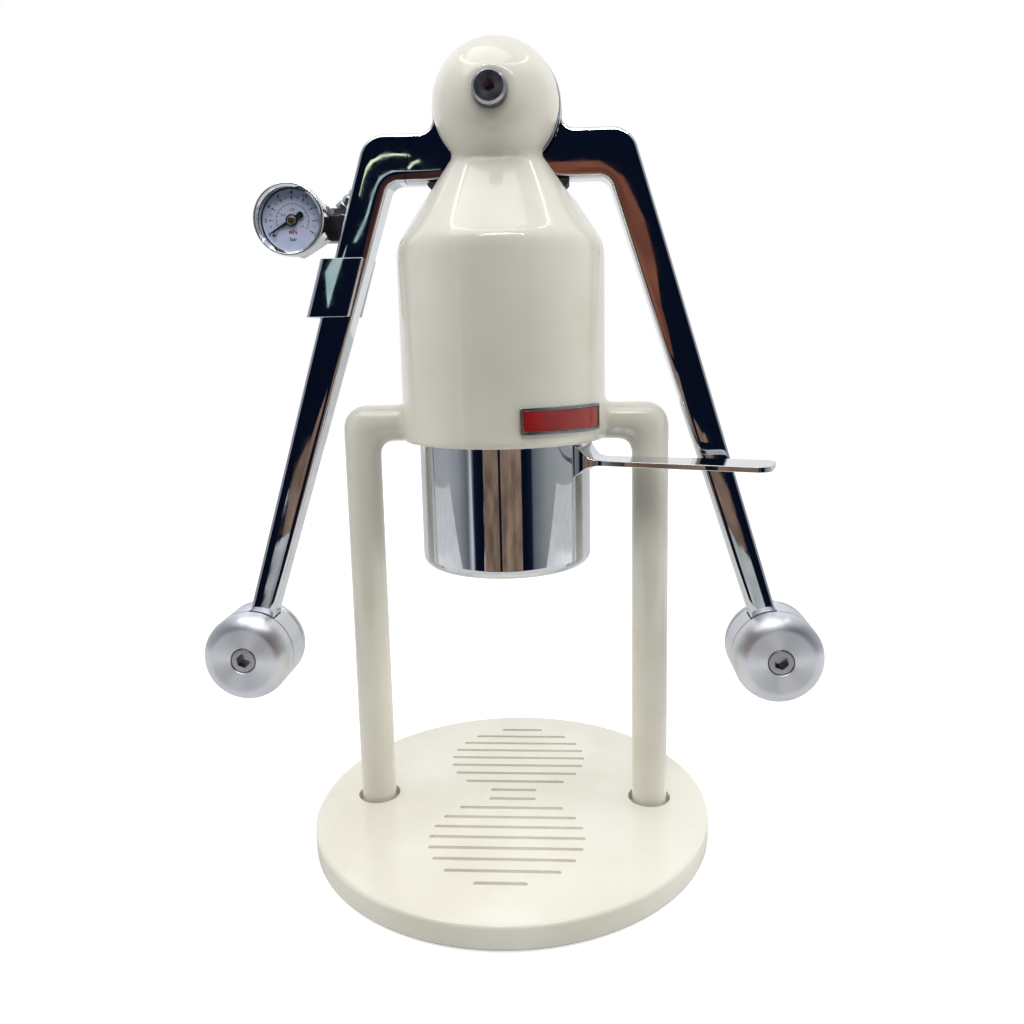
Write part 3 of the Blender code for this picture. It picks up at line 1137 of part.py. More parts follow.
def make_handle():
    inner = CUP_RADIUS + GAP
    outer = inner + SADDLE_THICKNESS
    saddle_middle = (SADDLE_BOTTOM + SADDLE_TOP) / 2
    start = HANDLE_ANGLE - SADDLE_HALF_ANGLE
    end = HANDLE_ANGLE + SADDLE_HALF_ANGLE
    handle = plate("portafilter_handle", sector(inner, outer, start, end, 6), SADDLE_TOP - SADDLE_BOTTOM,
                   (0, 0, saddle_middle))
    root = inner + SADDLE_THICKNESS / 2
    root_half = HANDLE_ROOT_WIDTH / 2
    tip_half = HANDLE_TIP_WIDTH / 2
    near, far = (root, -root_half), (HANDLE_REACH, -tip_half)
    across = (HANDLE_REACH, tip_half)
    tip = round_corner(near, far, across, HANDLE_TIP_CORNER, 5)
    tip += round_corner(far, across, (root, root_half), HANDLE_TIP_CORNER, 5)
    strap = plate("strap", [near] + tip + [(root, root_half)], HANDLE_THICKNESS,
                  (0, 0, HANDLE_TOP - HANDLE_THICKNESS / 2), (0, 0, HANDLE_ANGLE))
    join(handle, strap)
    finish(handle, "polished_chrome", lock_axis)


def lean_with_arm(piece, top_drop):
    # Shears a piece whose top lies at the given drop, so it follows the left arm's outer edge
    lean = Matrix.Identity(4)
    lean[0][2] = outer_lean()
    piece.data.transform(lean)
    piece.location = (-arm_edge(top_drop), 0, AXLE_HEIGHT - top_drop)
    return piece


def make_clip():
    face = CLIP_REAR_FACE
    inside = face - CLIP_WALL
    left = -CLIP_OFFSET
    wall = left + CLIP_WALL
    front_end = left + CLIP_FRONT_LEG
    rear_end = left + CLIP_REAR_LEG
    channel = [(left, -face), (front_end, -face), (front_end, -inside), (wall, -inside), (wall, inside),
               (rear_end, inside), (rear_end, face), (left, face)]
    clip = plate("gauge_clip", channel, CLIP_HEIGHT)
    clip.data.transform(Matrix.Translation((0, 0, -CLIP_HEIGHT / 2)))
    lean_with_arm(clip, CLIP_DROP)
    strip_top = BLOCK_TOP_DROP
    strip = box("gauge_strip", (rear_end - STRIP_WIDTH, inside + STRIP_INSET, strip_top - CLIP_DROP - STRIP_OVERLAP),
                (rear_end, face - STRIP_INSET, 0))
    lean_with_arm(strip, strip_top)
    join(clip, strip)
    screw_drop = CLIP_DROP + CLIP_HEIGHT / 2
    screw_place = (BAR_END_WIDTH / 2 - arm_edge(screw_drop), 0, AXLE_HEIGHT - screw_drop)
    taper_share = (screw_drop - TAPER_DROP) / (KNOB_DROP - TAPER_DROP)
    arm_back = (ARM_THICKNESS + (ARM_END_THICKNESS - ARM_THICKNESS) * taper_share) / 2
    cut(clip, rod("clip_screw_hole", CLIP_SCREW_RADIUS + GAP, -face - OVERRUN, -inside + GAP, screw_place,
                  SMALL_STEPS, FRONT_FACING))
    seat = -face - GAP
    back = seat - CLIP_SCREW_HEAD_HEIGHT
    screw = [(0, -arm_back - GAP), (CLIP_SCREW_RADIUS, -arm_back - GAP), (CLIP_SCREW_RADIUS, seat),
             (CLIP_SCREW_HEAD_RADIUS, seat), (CLIP_SCREW_HEAD_RADIUS, back), (0, back)]
    bolt = turned("clip_screw", screw, screw_place, SMALL_STEPS, FRONT_FACING)
    finish(bolt, "steel", left_axis)
    make_block(clip, rear_end)


def make_block(clip, rear_end):
    back = BLOCK_FRONT + BLOCK_DEPTH
    block = box("manifold_block", (-BLOCK_LEFT, BLOCK_FRONT, BLOCK_TOP - BLOCK_HEIGHT),
                (BLOCK_WIDTH - BLOCK_LEFT, back, BLOCK_TOP))
    gauge_place = (-GAUGE_REACH, 0, GAUGE_HEIGHT)
    spigot_room = ADAPTER_SPIGOT_RADIUS + GAP
    cut(block, rod("spigot_room", spigot_room, -BLOCK_FRONT - ADAPTER_SPIGOT_LENGTH - GAP, -BLOCK_FRONT + OVERRUN,
                   gauge_place, SMALL_STEPS, FRONT_FACING))
    middle_drop = BLOCK_TOP_DROP + BLOCK_HEIGHT / 2
    middle = rear_end - STRIP_WIDTH / 2 - arm_edge(middle_drop)
    inside = CLIP_REAR_FACE - CLIP_WALL + STRIP_INSET
    end = -inside - STRIP_INSET
    rear = -back - GAP
    spot = (middle, 0, AXLE_HEIGHT - middle_drop)
    hole = rod("block_screw_hole", BLOCK_SCREW_RADIUS + GAP, rear - OVERRUN, OVERRUN - inside, spot, SMALL_STEPS,
               FRONT_FACING)
    cut(block, hole)
    cut(clip, hole)
    head_back = rear - BLOCK_SCREW_HEAD_HEIGHT
    profile = [(0, end), (BLOCK_SCREW_RADIUS, end), (BLOCK_SCREW_RADIUS, rear), (BLOCK_SCREW_HEAD_RADIUS, rear),
               (BLOCK_SCREW_HEAD_RADIUS, head_back), (0, head_back)]
    screw = turned("block_screw", profile, spot, SMALL_STEPS, FRONT_FACING)
    finish(clip, "polished_chrome", left_axis)
    finish(block, "black_anodised", left_axis)
    finish(screw, "steel", left_axis)
    make_hose_elbow()


def make_hose_elbow():
    # The foot stands on the block and carries the crimped ferrule that rises towards the head
    depth = BLOCK_FRONT + BLOCK_DEPTH / 2
    seat = BLOCK_TOP + GAP
    foot = rod("hose_elbow", ELBOW_FOOT_RADIUS, seat, seat + ELBOW_FOOT_HEIGHT, (-ELBOW_FOOT_REACH, depth, 0))
    radius = FERRULE_RADIUS
    waist = radius - FERRULE_CRIMP
    length = FERRULE_LENGTH
    profile = [(0, length), (waist, length), (waist, length * 0.9), (radius, length * 0.8), (radius, length * 0.6),
               (waist, length * 0.55), (waist, length * 0.45), (radius, length * 0.4), (radius, 0), (0, 0)]
    start = (FERRULE_SHIFT - ELBOW_FOOT_REACH, depth, seat + FERRULE_LIFT)
    ferrule = turned("hose_ferrule", profile, start, SMALL_STEPS, (0, math.pi / 2 - FERRULE_RISE, 0))
    finish(join(foot, ferrule), "stainless", left_axis)


def make_gauge():
    place = (-GAUGE_REACH, 0, GAUGE_HEIGHT)
    skirt = BEZEL_RADIUS - BEZEL_WALL
    lip = GAUGE_FRONT - BEZEL_LIP_THICKNESS
    opening = BEZEL_RADIUS - BEZEL_LIP
    edge = BEZEL_WALL
    back = GAUGE_FRONT - BEZEL_DEPTH
    bezel = [(opening + edge / 2, GAUGE_FRONT), (BEZEL_RADIUS - edge, GAUGE_FRONT),
             (BEZEL_RADIUS, GAUGE_FRONT - edge), (BEZEL_RADIUS, back), (skirt, back), (skirt, lip),
             (opening, lip), (opening, GAUGE_FRONT - edge)]
    finish(turned("gauge_bezel", bezel, place, KNOB_STEPS, FRONT_FACING), "polished_chrome", left_axis)
    glass = rod("gauge_glass", skirt - GLASS_SIDE_CLEARANCE, GLASS_TOP - GLASS_THICKNESS, GLASS_TOP, place,
                KNOB_STEPS, FRONT_FACING)
    finish(glass, "gauge_glass", left_axis)
    inner = CASE_RADIUS - CASE_WALL
    shelf = DIAL_FACE - DIAL_THICKNESS - GAP
    floor_face = CASE_FLOOR - CASE_REAR
    case = [(0, floor_face), (inner - DIAL_SHELF, floor_face), (inner - DIAL_SHELF, shelf), (inner, shelf),
            (inner, CASE_FRONT), (CASE_RADIUS, CASE_FRONT), (CASE_RADIUS, -CASE_REAR), (0, -CASE_REAR)]
    finish(turned("gauge_case", case, place, KNOB_STEPS, FRONT_FACING), "polished_chrome", left_axis)
    arbor_hole = ARBOR_RADIUS + GAP
    back = DIAL_FACE - DIAL_THICKNESS
    dial = [(DIAL_RADIUS, DIAL_FACE), (DIAL_RADIUS, back), (arbor_hole, back), (arbor_hole, DIAL_FACE)]
    face = turned("gauge_dial", dial, place, KNOB_STEPS, FRONT_FACING)
    finish(face, "dial_white", left_axis)
    top = back - MOVEMENT_GAP
    bottom = floor_face + GAP
    movement = [(MOVEMENT_RADIUS, top), (MOVEMENT_RADIUS, bottom), (arbor_hole, bottom), (arbor_hole, top)]
    finish(turned("gauge_movement", movement, place, 24, FRONT_FACING), "brass", left_axis)
    pin_place = (-GAUGE_REACH + STOP_PIN_REACH * math.cos(STOP_PIN_ANGLE), 0,
                 GAUGE_HEIGHT + STOP_PIN_REACH * math.sin(STOP_PIN_ANGLE))
    pin = rod("gauge_stop_pin", STOP_PIN_RADIUS, DIAL_FACE + GAP, DIAL_FACE + GAP + STOP_PIN_HEIGHT, pin_place, 12,
              FRONT_FACING)
    finish(pin, "brass", left_axis)
    seat = -CASE_REAR - GAP
    adapter_back = GAP - BLOCK_FRONT
    spigot_end = -BLOCK_FRONT - ADAPTER_SPIGOT_LENGTH
    adapter = rod("gauge_adapter", ADAPTER_RADIUS, adapter_back, seat, place, 6, FRONT_FACING)
    spigot = rod("adapter_spigot", ADAPTER_SPIGOT_RADIUS, spigot_end, seat - ADAPTER_DEPTH / 2, place, SMALL_STEPS,
                 FRONT_FACING)
    join(adapter, spigot)
    finish(adapter, "stainless", left_axis)
    make_needle(place, bottom)


def make_needle(place, arbor_end):
    hub_low = DIAL_FACE + GAP
    hub_high = hub_low + NEEDLE_HUB_HEIGHT
    needle_middle = hub_low + NEEDLE_HUB_HEIGHT / 2
    boss = [(0, hub_high), (NEEDLE_HUB_RADIUS - GAP, hub_high), (NEEDLE_HUB_RADIUS, hub_high - GAP),
            (NEEDLE_HUB_RADIUS, hub_low), (ARBOR_RADIUS, hub_low), (ARBOR_RADIUS, arbor_end), (0, arbor_end)]
    finish(turned("needle_hub", boss, place, SMALL_STEPS, FRONT_FACING), "brass", needle_axis)
    eye = NEEDLE_HUB_RADIUS + GAP
    around = eye + NEEDLE_EYE_WALL
    half = NEEDLE_WIDTH / 2
    tail = NEEDLE_TAIL_WIDTH / 2
    spread = math.asin(half / around)
    tail_spread = math.asin(half / around)
    outline = [(NEEDLE_LENGTH, half / 4)]
    outline += arc((0, 0), around, spread, math.pi - tail_spread, 6)
    outline += [(-NEEDLE_TAIL + tail, tail), (-NEEDLE_TAIL, tail / 2), (-NEEDLE_TAIL, -tail / 2),
                (-NEEDLE_TAIL + tail, -tail)]
    outline += arc((0, 0), around, math.pi + tail_spread, 2 * math.pi - spread, 6) + [(NEEDLE_LENGTH, -half / 4)]
    pointer = plate("gauge_needle", outline, NEEDLE_THICKNESS)
    pointer.data.transform(Matrix.Translation((0, 0, needle_middle)))
    pointer.location = place
    pointer.rotation_euler = (math.pi / 2, -NEEDLE_ZERO, 0)
    cut(pointer, rod("needle_eye", eye, hub_low - OVERRUN, hub_high + OVERRUN, place, SMALL_STEPS, FRONT_FACING))
    finish(pointer, "needle_black", needle_axis)


def make_hoses():
    finish(hose("outer_hose", OUTER_HOSE_ROUTE), "braided_hose")
    finish(hose("inner_hose", INNER_HOSE_ROUTE), "braided_hose")
    outside = -BODY_RADIUS - GAP
    outer_end = outside - GROMMET_FLANGE_THICKNESS
    inner_face = GAP - math.sqrt(CAVITY_RADIUS ** 2 - GROMMET_FLANGE_RADIUS ** 2) + GAP
    inner_end = inner_face + GROMMET_FLANGE_THICKNESS
    profile = [(GROMMET_FLANGE_RADIUS, inner_end), (GROMMET_FLANGE_RADIUS, inner_face),
               (GROMMET_NECK_RADIUS, inner_face), (GROMMET_NECK_RADIUS, outside),
               (GROMMET_FLANGE_RADIUS, outside), (GROMMET_FLANGE_RADIUS, outer_end),
               (GROMMET_BORE, outer_end), (GROMMET_BORE, inner_end)]
    finish(turned("hose_grommet", profile, (0, 0, GROMMET_HEIGHT), SMALL_STEPS, FRONT_FACING), "rubber")


make_base()
make_leg_screws()
make_body()
make_locking_ring()
make_badge()
make_axle()
make_right_arm()
make_left_arm()
make_hub_fittings()
make_arm_stops()
make_knob("left", -1, left_axis)
make_knob("right", 1, right_axis)
make_yoke()
make_rod_bush()
make_piston()
make_portafilter()
make_handle()
make_clip()
make_gauge()
make_hoses()
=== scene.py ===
# Looks of the lever espresso machine: fine shapes, finishes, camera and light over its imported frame
import json
import math
import bmesh
import bpy
from mathutils import Matrix, Vector


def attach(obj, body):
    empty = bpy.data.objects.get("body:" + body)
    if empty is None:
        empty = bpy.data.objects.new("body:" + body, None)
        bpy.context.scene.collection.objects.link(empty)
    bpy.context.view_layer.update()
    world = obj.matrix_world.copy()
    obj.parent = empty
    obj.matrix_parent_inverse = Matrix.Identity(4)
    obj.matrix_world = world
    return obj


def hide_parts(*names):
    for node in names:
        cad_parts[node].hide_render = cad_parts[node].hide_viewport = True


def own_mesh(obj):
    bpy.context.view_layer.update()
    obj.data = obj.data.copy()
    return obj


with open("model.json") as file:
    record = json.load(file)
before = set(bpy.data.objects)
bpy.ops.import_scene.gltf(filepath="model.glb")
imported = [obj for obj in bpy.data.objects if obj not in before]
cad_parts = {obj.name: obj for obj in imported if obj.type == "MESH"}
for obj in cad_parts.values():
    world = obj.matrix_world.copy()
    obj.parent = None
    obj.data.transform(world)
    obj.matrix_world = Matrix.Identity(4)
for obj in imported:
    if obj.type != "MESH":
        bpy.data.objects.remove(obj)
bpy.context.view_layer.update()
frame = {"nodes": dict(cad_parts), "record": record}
pieceCollection = bpy.data.collections.new("espressoMachine")
bpy.context.scene.collection.children.link(pieceCollection)
toFront = Matrix.Rotation(math.radians(90), 4, "X")  # a turned shape's top then faces the viewer
axleHeight = 284
print("frame loaded")

# Camera: shapes and places below are in millimetres, and turn into metres when a piece is made
view = {"place": (28.8629, -338.5614, 198.7436), "yaw": 0.0632, "pitch": 0.1545, "roll": -0.0195,
        "focal": 863.7136, "centre": (524.526, 476.2537), "imageSide": 1024, "sensor": 36}


def makeCamera():
    yaw, pitch, roll = view["yaw"], view["pitch"], view["roll"]
    ahead = Vector((-math.sin(yaw) * math.cos(pitch), math.cos(yaw) * math.cos(pitch), -math.sin(pitch)))
    level = Vector((math.cos(yaw), math.sin(yaw), 0))
    upright = level.cross(ahead)
    right = math.cos(roll) * level + math.sin(roll) * upright
    up = math.cos(roll) * upright - math.sin(roll) * level
    lens = bpy.data.cameras.new("photoCamera")
    lens.sensor_width = view["sensor"]
    lens.lens = view["focal"] / view["imageSide"] * view["sensor"]
    lens.shift_x = (view["imageSide"] / 2 - view["centre"][0]) / view["imageSide"]
    lens.shift_y = (view["centre"][1] - view["imageSide"] / 2) / view["imageSide"]
    lens.clip_start = 0.01
    camera = bpy.data.objects.new("photoCamera", lens)
    turned = Matrix((right, up, -ahead)).transposed().to_4x4()
    camera.matrix_world = Matrix.Translation(Vector(view["place"]) / 1000) @ turned
    bpy.context.scene.collection.objects.link(camera)
    bpy.context.scene.camera = camera


makeCamera()


# Shape tools
def arcPoints(centre, radius, start, end, steps=12):
    points = []
    for index in range(steps + 1):
        angle = math.radians(start + (end - start) * index / steps)
        points.append((centre[0] + radius * math.cos(angle), centre[1] + radius * math.sin(angle)))
    return points


def rounded(corners, closed=False, steps=6):
    # Each corner gives its place and its rounding radius
    points = []
    last = len(corners) - 1
    for index, (along, up, radius) in enumerate(corners):
        if radius == 0 or (not closed and index in (0, last)):
            points.append((along, up))
            continue
        corner = Vector((along, up))
        back = (Vector(corners[index - 1][:2]) - corner).normalized()
        ahead = (Vector(corners[(index + 1) % len(corners)][:2]) - corner).normalized()
        half = back.angle(ahead) / 2
        middle = corner + (back + ahead).normalized() * radius / math.sin(half)
        leave = corner + back * radius / math.tan(half) - middle
        arrive = corner + ahead * radius / math.tan(half) - middle
        start = math.degrees(math.atan2(leave.y, leave.x))
        turn = math.degrees(math.atan2(leave.x * arrive.y - leave.y * arrive.x, leave.dot(arrive)))
        points += arcPoints(middle, radius, start, start + turn, steps)
    return points


def tangentPoint(point, centre, radius, side):
    reach = Vector(centre) - Vector(point)
    heading = math.atan2(reach.y, reach.x) + side * math.asin(radius / reach.length)
    run = math.sqrt(reach.length ** 2 - radius ** 2)
    return (point[0] + run * math.cos(heading), point[1] + run * math.sin(heading))


def bearing(centre, point):
    return math.degrees(math.atan2(point[1] - centre[1], point[0] - centre[0]))


def placed(bm, *steps):
    for step in steps:
        bmesh.ops.transform(bm, matrix=step, verts=bm.verts)
    return bm


def shift(x, y, z):
    return Matrix.Translation((x, y, z))


def tidied(bm):
    bmesh.ops.remove_doubles(bm, verts=bm.verts, dist=0.002)
    bmesh.ops.recalc_face_normals(bm, faces=bm.faces)
    return bm


def turned(profile, steps=96, ring=False):
    # The profile is radius and height; a ring is closed on itself
    bm = bmesh.new()
    points = [bm.verts.new((radius, 0, height)) for radius, height in profile]
    edges = [bm.edges.new(pair) for pair in zip(points, points[1:])]
    if ring:
        edges.append(bm.edges.new((points[-1], points[0])))
    bmesh.ops.spin(bm, geom=points + edges, cent=(0, 0, 0), axis=(0, 0, 1), angle=2 * math.pi, steps=steps,
                   use_merge=True)
    return tidied(bm)


def rod(radius, low, high, steps=48):
    bm = bmesh.new()
    bmesh.ops.create_cone(bm, cap_ends=True, segments=steps, radius1=radius, radius2=radius, depth=high - low)
    return placed(bm, shift(0, 0, (low + high) / 2))


def box(low, high):
    size = Vector(high) - Vector(low)
    bm = bmesh.new()
    bmesh.ops.create_cube(bm, size=1)
    return placed(bm, Matrix.Diagonal((*size, 1)), Matrix.Translation((Vector(high) + Vector(low)) / 2))


def plate(outline, low, high):
    bm = bmesh.new()
    face = bm.faces.new([bm.verts.new((along, up, low)) for along, up in outline])
    grown = bmesh.ops.extrude_face_region(bm, geom=[face], use_keep_orig=True)
    moved = [item for item in grown["geom"] if isinstance(item, bmesh.types.BMVert)]
    bmesh.ops.translate(bm, vec=(0, 0, high - low), verts=moved)
    bmesh.ops.recalc_face_normals(bm, faces=bm.faces)
    return bm


def bevelled(bm, width, segments=3, least=35):
    edges = [edge for edge in bm.edges
             if len(edge.link_faces) == 2 and edge.calc_face_angle() > math.radians(least)]
    bmesh.ops.bevel(bm, geom=edges, affect="EDGES", offset=width, segments=segments, profile=0.5, material=-1,
                    clamp_overlap=True)
    return bm


def looseObject(bm):
    mesh = bpy.data.meshes.new("working")
    bm.to_mesh(mesh)
    bm.free()
    made = bpy.data.objects.new("working", mesh)
    bpy.context.scene.collection.objects.link(made)
    return made


def evaluated(made, *helpers):
    # Reads the object with its modifiers applied, then clears it and its helpers away
    bpy.context.view_layer.update()
    mesh = bpy.data.meshes.new_from_object(made.evaluated_get(bpy.context.evaluated_depsgraph_get()))
    bm = bmesh.new()
    bm.from_mesh(mesh)
    bpy.data.meshes.remove(mesh)
    for old in (made, *helpers):
        data = old.data
        bpy.data.objects.remove(old)
        if isinstance(data, bpy.types.Mesh):
            bpy.data.meshes.remove(data)
        else:
            bpy.data.curves.remove(data)
    return bm


def combined(bm, tools, operation="DIFFERENCE"):
    made = looseObject(bm)
    helpers = [looseObject(tool) for tool in tools]
    for helper in helpers:
        step = made.modifiers.new("combine", "BOOLEAN")
        step.operation = operation
        step.solver = "MANIFOLD"
        step.object = helper
    return evaluated(made, *helpers)


def joined(*shapes):
    # Shapes that only share an object, such as printed marks
    whole = bmesh.new()
    for shape in shapes:
        mesh = bpy.data.meshes.new("part")
        shape.to_mesh(mesh)
        shape.free()
        whole.from_mesh(mesh)
        bpy.data.meshes.remove(mesh)
    return whole


def addPiece(name, bm, finish, body, *nodes, sharp=35, steady=True):
    # Turns millimetres into metres and hands the piece to its body and the nodes it stands for
    bmesh.ops.scale(bm, vec=(0.001, 0.001, 0.001), verts=bm.verts)
    mesh = bpy.data.meshes.new(name)
    bm.to_mesh(mesh)
    bm.free()
    mesh.shade_smooth()
    mesh.set_sharp_from_angle(angle=math.radians(sharp))
    mesh.materials.append(finish)
    piece = bpy.data.objects.new(name, mesh)
    pieceCollection.objects.link(piece)
    if steady:
        shading = piece.modifiers.new("steadyShading", "WEIGHTED_NORMAL")
        shading.keep_sharp = True
    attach(piece, body)
    if nodes:
        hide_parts(*nodes)
    return piece


# Finish tools
def hexColour(code, alpha=1):
    channels = [int(code[start:start + 2], 16) / 255 for start in (1, 3, 5)]
    linear = [part / 12.92 if part <= 0.04045 else ((part + 0.055) / 1.055) ** 2.4 for part in channels]
    return (*linear, alpha)


def newFinish(name):
    finish = bpy.data.materials.new(name)
    finish.use_nodes = True
    return finish, finish.node_tree, finish.node_tree.nodes["Principled BSDF"]


def addNode(tree, kind, settings=None, **links):
    # Settings starting with an underscore belong to the node, the others to its sockets
    node = tree.nodes.new("ShaderNode" + kind)
    for key, value in (settings or {}).items():
        if key.startswith("_"):
            setattr(node, key[1:], value)
        else:
            node.inputs[int(key) if key.isdigit() else key].default_value = value
    for socket, source in links.items():
        key = socket[1:] if socket.startswith("n") and socket[1:].isdigit() else socket.replace("_", " ")
        tree.links.new(source, node.inputs[int(key) if key.isdigit() else key])
    return node


def setRamp(node, *stops):
    ramp = node.color_ramp
    while len(ramp.elements) > 2:
        ramp.elements.remove(ramp.elements[-1])
    for element, (position, code) in zip(ramp.elements, (stops[0], stops[-1])):
        element.position = position
        element.color = hexColour(code)
    for position, code in stops[1:-1]:
        ramp.elements.new(position).color = hexColour(code)
    return node


def perMetre(millimetres):
    return 1000 / millimetres


# Enamel: gloss paint sprayed on an aluminium casting gives soft broad highlights with a faint orange peel,
# a slow drift of tone and a dust speck here and there
enamel = {"light": "#ebe7d9", "dark": "#e0dbcb", "roughness": 0.16, "coat": 0.6, "coatRoughness": 0.05,
          "peel": 1.4, "peelDepth": 0.05, "drift": 46, "speckSpacing": 15.6, "speckShare": 0.022,
          "dust": "#8d8878"}


def makeEnamel():
    finish, tree, shader = newFinish("glossEnamelSprayed")
    place = addNode(tree, "TexCoord").outputs["Object"]
    drift = addNode(tree, "TexNoise", {"Scale": perMetre(enamel["drift"]), "Detail": 3.0}, Vector=place)
    tone = setRamp(addNode(tree, "ValToRGB", Fac=drift.outputs["Fac"]),
                   (0.35, enamel["dark"]), (0.65, enamel["light"]))
    specks = addNode(tree, "TexVoronoi", {"Scale": perMetre(enamel["speckSpacing"]), "Randomness": 1.0},
                     Vector=place)
    dusty = addNode(tree, "MapRange", {"From Min": 0.0, "From Max": enamel["speckShare"], "To Min": 1.0,
                                       "To Max": 0.0}, Value=specks.outputs["Distance"])
    mixed = addNode(tree, "Mix", {"_data_type": "RGBA", "_blend_type": "MULTIPLY", "7": hexColour(enamel["dust"])},
                    n0=dusty.outputs["Result"], n6=tone.outputs["Color"])
    tree.links.new(mixed.outputs[2], shader.inputs["Base Color"])
    peel = addNode(tree, "TexNoise", {"Scale": perMetre(enamel["peel"]), "Detail": 2.0}, Vector=place)
    rough = addNode(tree, "MapRange", {"To Min": enamel["roughness"] - 0.03, "To Max": enamel["roughness"] + 0.05},
                    Value=peel.outputs["Fac"])
    tree.links.new(rough.outputs["Result"], shader.inputs["Roughness"])
    bump = addNode(tree, "Bump", {"Strength": 0.12, "Distance": enamel["peelDepth"] / 1000},
                   Height=peel.outputs["Fac"])
    tree.links.new(bump.outputs["Normal"], shader.inputs["Normal"])
    shader.inputs["Coat Weight"].default_value = enamel["coat"]
    shader.inputs["Coat Roughness"].default_value = enamel["coatRoughness"]
    return finish


# Metals: clouds of tone and smears of roughness, a slow wave from hand polishing or a fine grain from the tool
metal = {"cloud": 14, "grainDepth": 0.02}


def makeMetal(name, light, dark, roughness, spread, waveSize=30, waveDepth=0.0, grain=None):
    finish, tree, shader = newFinish(name)
    place = addNode(tree, "TexCoord").outputs["Object"]
    cloud = addNode(tree, "TexNoise", {"Scale": perMetre(metal["cloud"]), "Detail": 4.0}, Vector=place)
    tone = setRamp(addNode(tree, "ValToRGB", Fac=cloud.outputs["Fac"]), (0.3, dark), (0.7, light))
    tree.links.new(tone.outputs["Color"], shader.inputs["Base Color"])
    shader.inputs["Metallic"].default_value = 1
    smear = addNode(tree, "TexNoise", {"Scale": perMetre(metal["cloud"] / 3), "Detail": 5.0}, Vector=place)
    rough = addNode(tree, "MapRange", {"From Min": 0.3, "From Max": 0.7, "To Min": max(0.01, roughness - spread),
                                       "To Max": roughness + spread}, Value=smear.outputs["Fac"])
    tree.links.new(rough.outputs["Result"], shader.inputs["Roughness"])
    normal = None
    if waveDepth:
        wave = addNode(tree, "TexNoise", {"Scale": perMetre(waveSize), "Detail": 0.0}, Vector=place)
        normal = addNode(tree, "Bump", {"Strength": 1.0, "Distance": waveDepth / 1000}, Height=wave.outputs["Fac"])
    if grain:
        stretched = addNode(tree, "Mapping", {"Scale": grain}, Vector=place)
        lines = addNode(tree, "TexNoise", {"Scale": 1000.0, "Detail": 2.0}, Vector=stretched.outputs["Vector"])
        after = {"Normal": normal.outputs["Normal"]} if normal else {}
        normal = addNode(tree, "Bump", {"Strength": 0.35, "Distance": metal["grainDepth"] / 1000},
                         Height=lines.outputs["Fac"], **after)
    if normal:
        tree.links.new(normal.outputs["Normal"], shader.inputs["Normal"])
    return finish


# Turned aluminium: rings left by the lathe pull its highlights out along the radius
turnedRings = {"perCentimetre": 120, "light": "#eceef4", "dark": "#dfe1e8", "smooth": 0.32, "rough": 0.42,
               "stretch": 0.9, "depth": 0.01}


def makeTurnedAluminium():
    finish, tree, shader = newFinish("turnedAluminiumSatin")
    turning = addNode(tree, "UVMap", {"_uv_map": "turning"})
    split = addNode(tree, "SeparateXYZ", Vector=turning.outputs["UV"])
    rings = addNode(tree, "TexNoise", {"_noise_dimensions": "1D", "Scale": turnedRings["perCentimetre"],
                                       "Detail": 2.0}, W=split.outputs["X"])
    tone = setRamp(addNode(tree, "ValToRGB", Fac=rings.outputs["Fac"]), (0.3, turnedRings["dark"]),
                   (0.7, turnedRings["light"]))
    tree.links.new(tone.outputs["Color"], shader.inputs["Base Color"])
    rough = addNode(tree, "MapRange", {"To Min": turnedRings["smooth"], "To Max": turnedRings["rough"]},
                    Value=rings.outputs["Fac"])
    tree.links.new(rough.outputs["Result"], shader.inputs["Roughness"])
    shader.inputs["Metallic"].default_value = 1
    shader.inputs["Anisotropic"].default_value = turnedRings["stretch"]
    radial = addNode(tree, "Tangent", {"_direction_type": "UV_MAP", "_uv_map": "turning"})
    tree.links.new(radial.outputs["Tangent"], shader.inputs["Tangent"])
    bump = addNode(tree, "Bump", {"Strength": 0.1, "Distance": turnedRings["depth"] / 1000},
                   Height=rings.outputs["Fac"])
    tree.links.new(bump.outputs["Normal"], shader.inputs["Normal"])
    return finish


# Rubber, fired enamel and printing ink: an even tone with fine grit, from matt to glossy under a clear coat
def makeMoulded(name, light, dark, roughness, grit=0.8, depth=0.03, coat=0.0):
    finish, tree, shader = newFinish(name)
    place = addNode(tree, "TexCoord").outputs["Object"]
    cloud = addNode(tree, "TexNoise", {"Scale": perMetre(9), "Detail": 4.0}, Vector=place)
    tone = setRamp(addNode(tree, "ValToRGB", Fac=cloud.outputs["Fac"]), (0.3, dark), (0.7, light))
    tree.links.new(tone.outputs["Color"], shader.inputs["Base Color"])
    fine = addNode(tree, "TexNoise", {"Scale": perMetre(grit), "Detail": 3.0}, Vector=place)
    rough = addNode(tree, "MapRange", {"To Min": roughness - 0.06, "To Max": roughness + 0.06},
                    Value=fine.outputs["Fac"])
    tree.links.new(rough.outputs["Result"], shader.inputs["Roughness"])
    bump = addNode(tree, "Bump", {"Strength": 0.3, "Distance": depth / 1000}, Height=fine.outputs["Fac"])
    tree.links.new(bump.outputs["Normal"], shader.inputs["Normal"])
    shader.inputs["Coat Weight"].default_value = coat
    shader.inputs["Coat Roughness"].default_value = 0.08
    return finish


# Braid: two sets of steel wires wound over the hose cross on it; painted shade darkens the gaps between strands,
# and the strands on top, painted lighter, are smoother and glint
braid = {"lean": 45, "stretch": (12, 1100, 1), "bands": 0.35, "light": "#c9cacd", "dark": "#5f6064",
         "depth": 0.3}


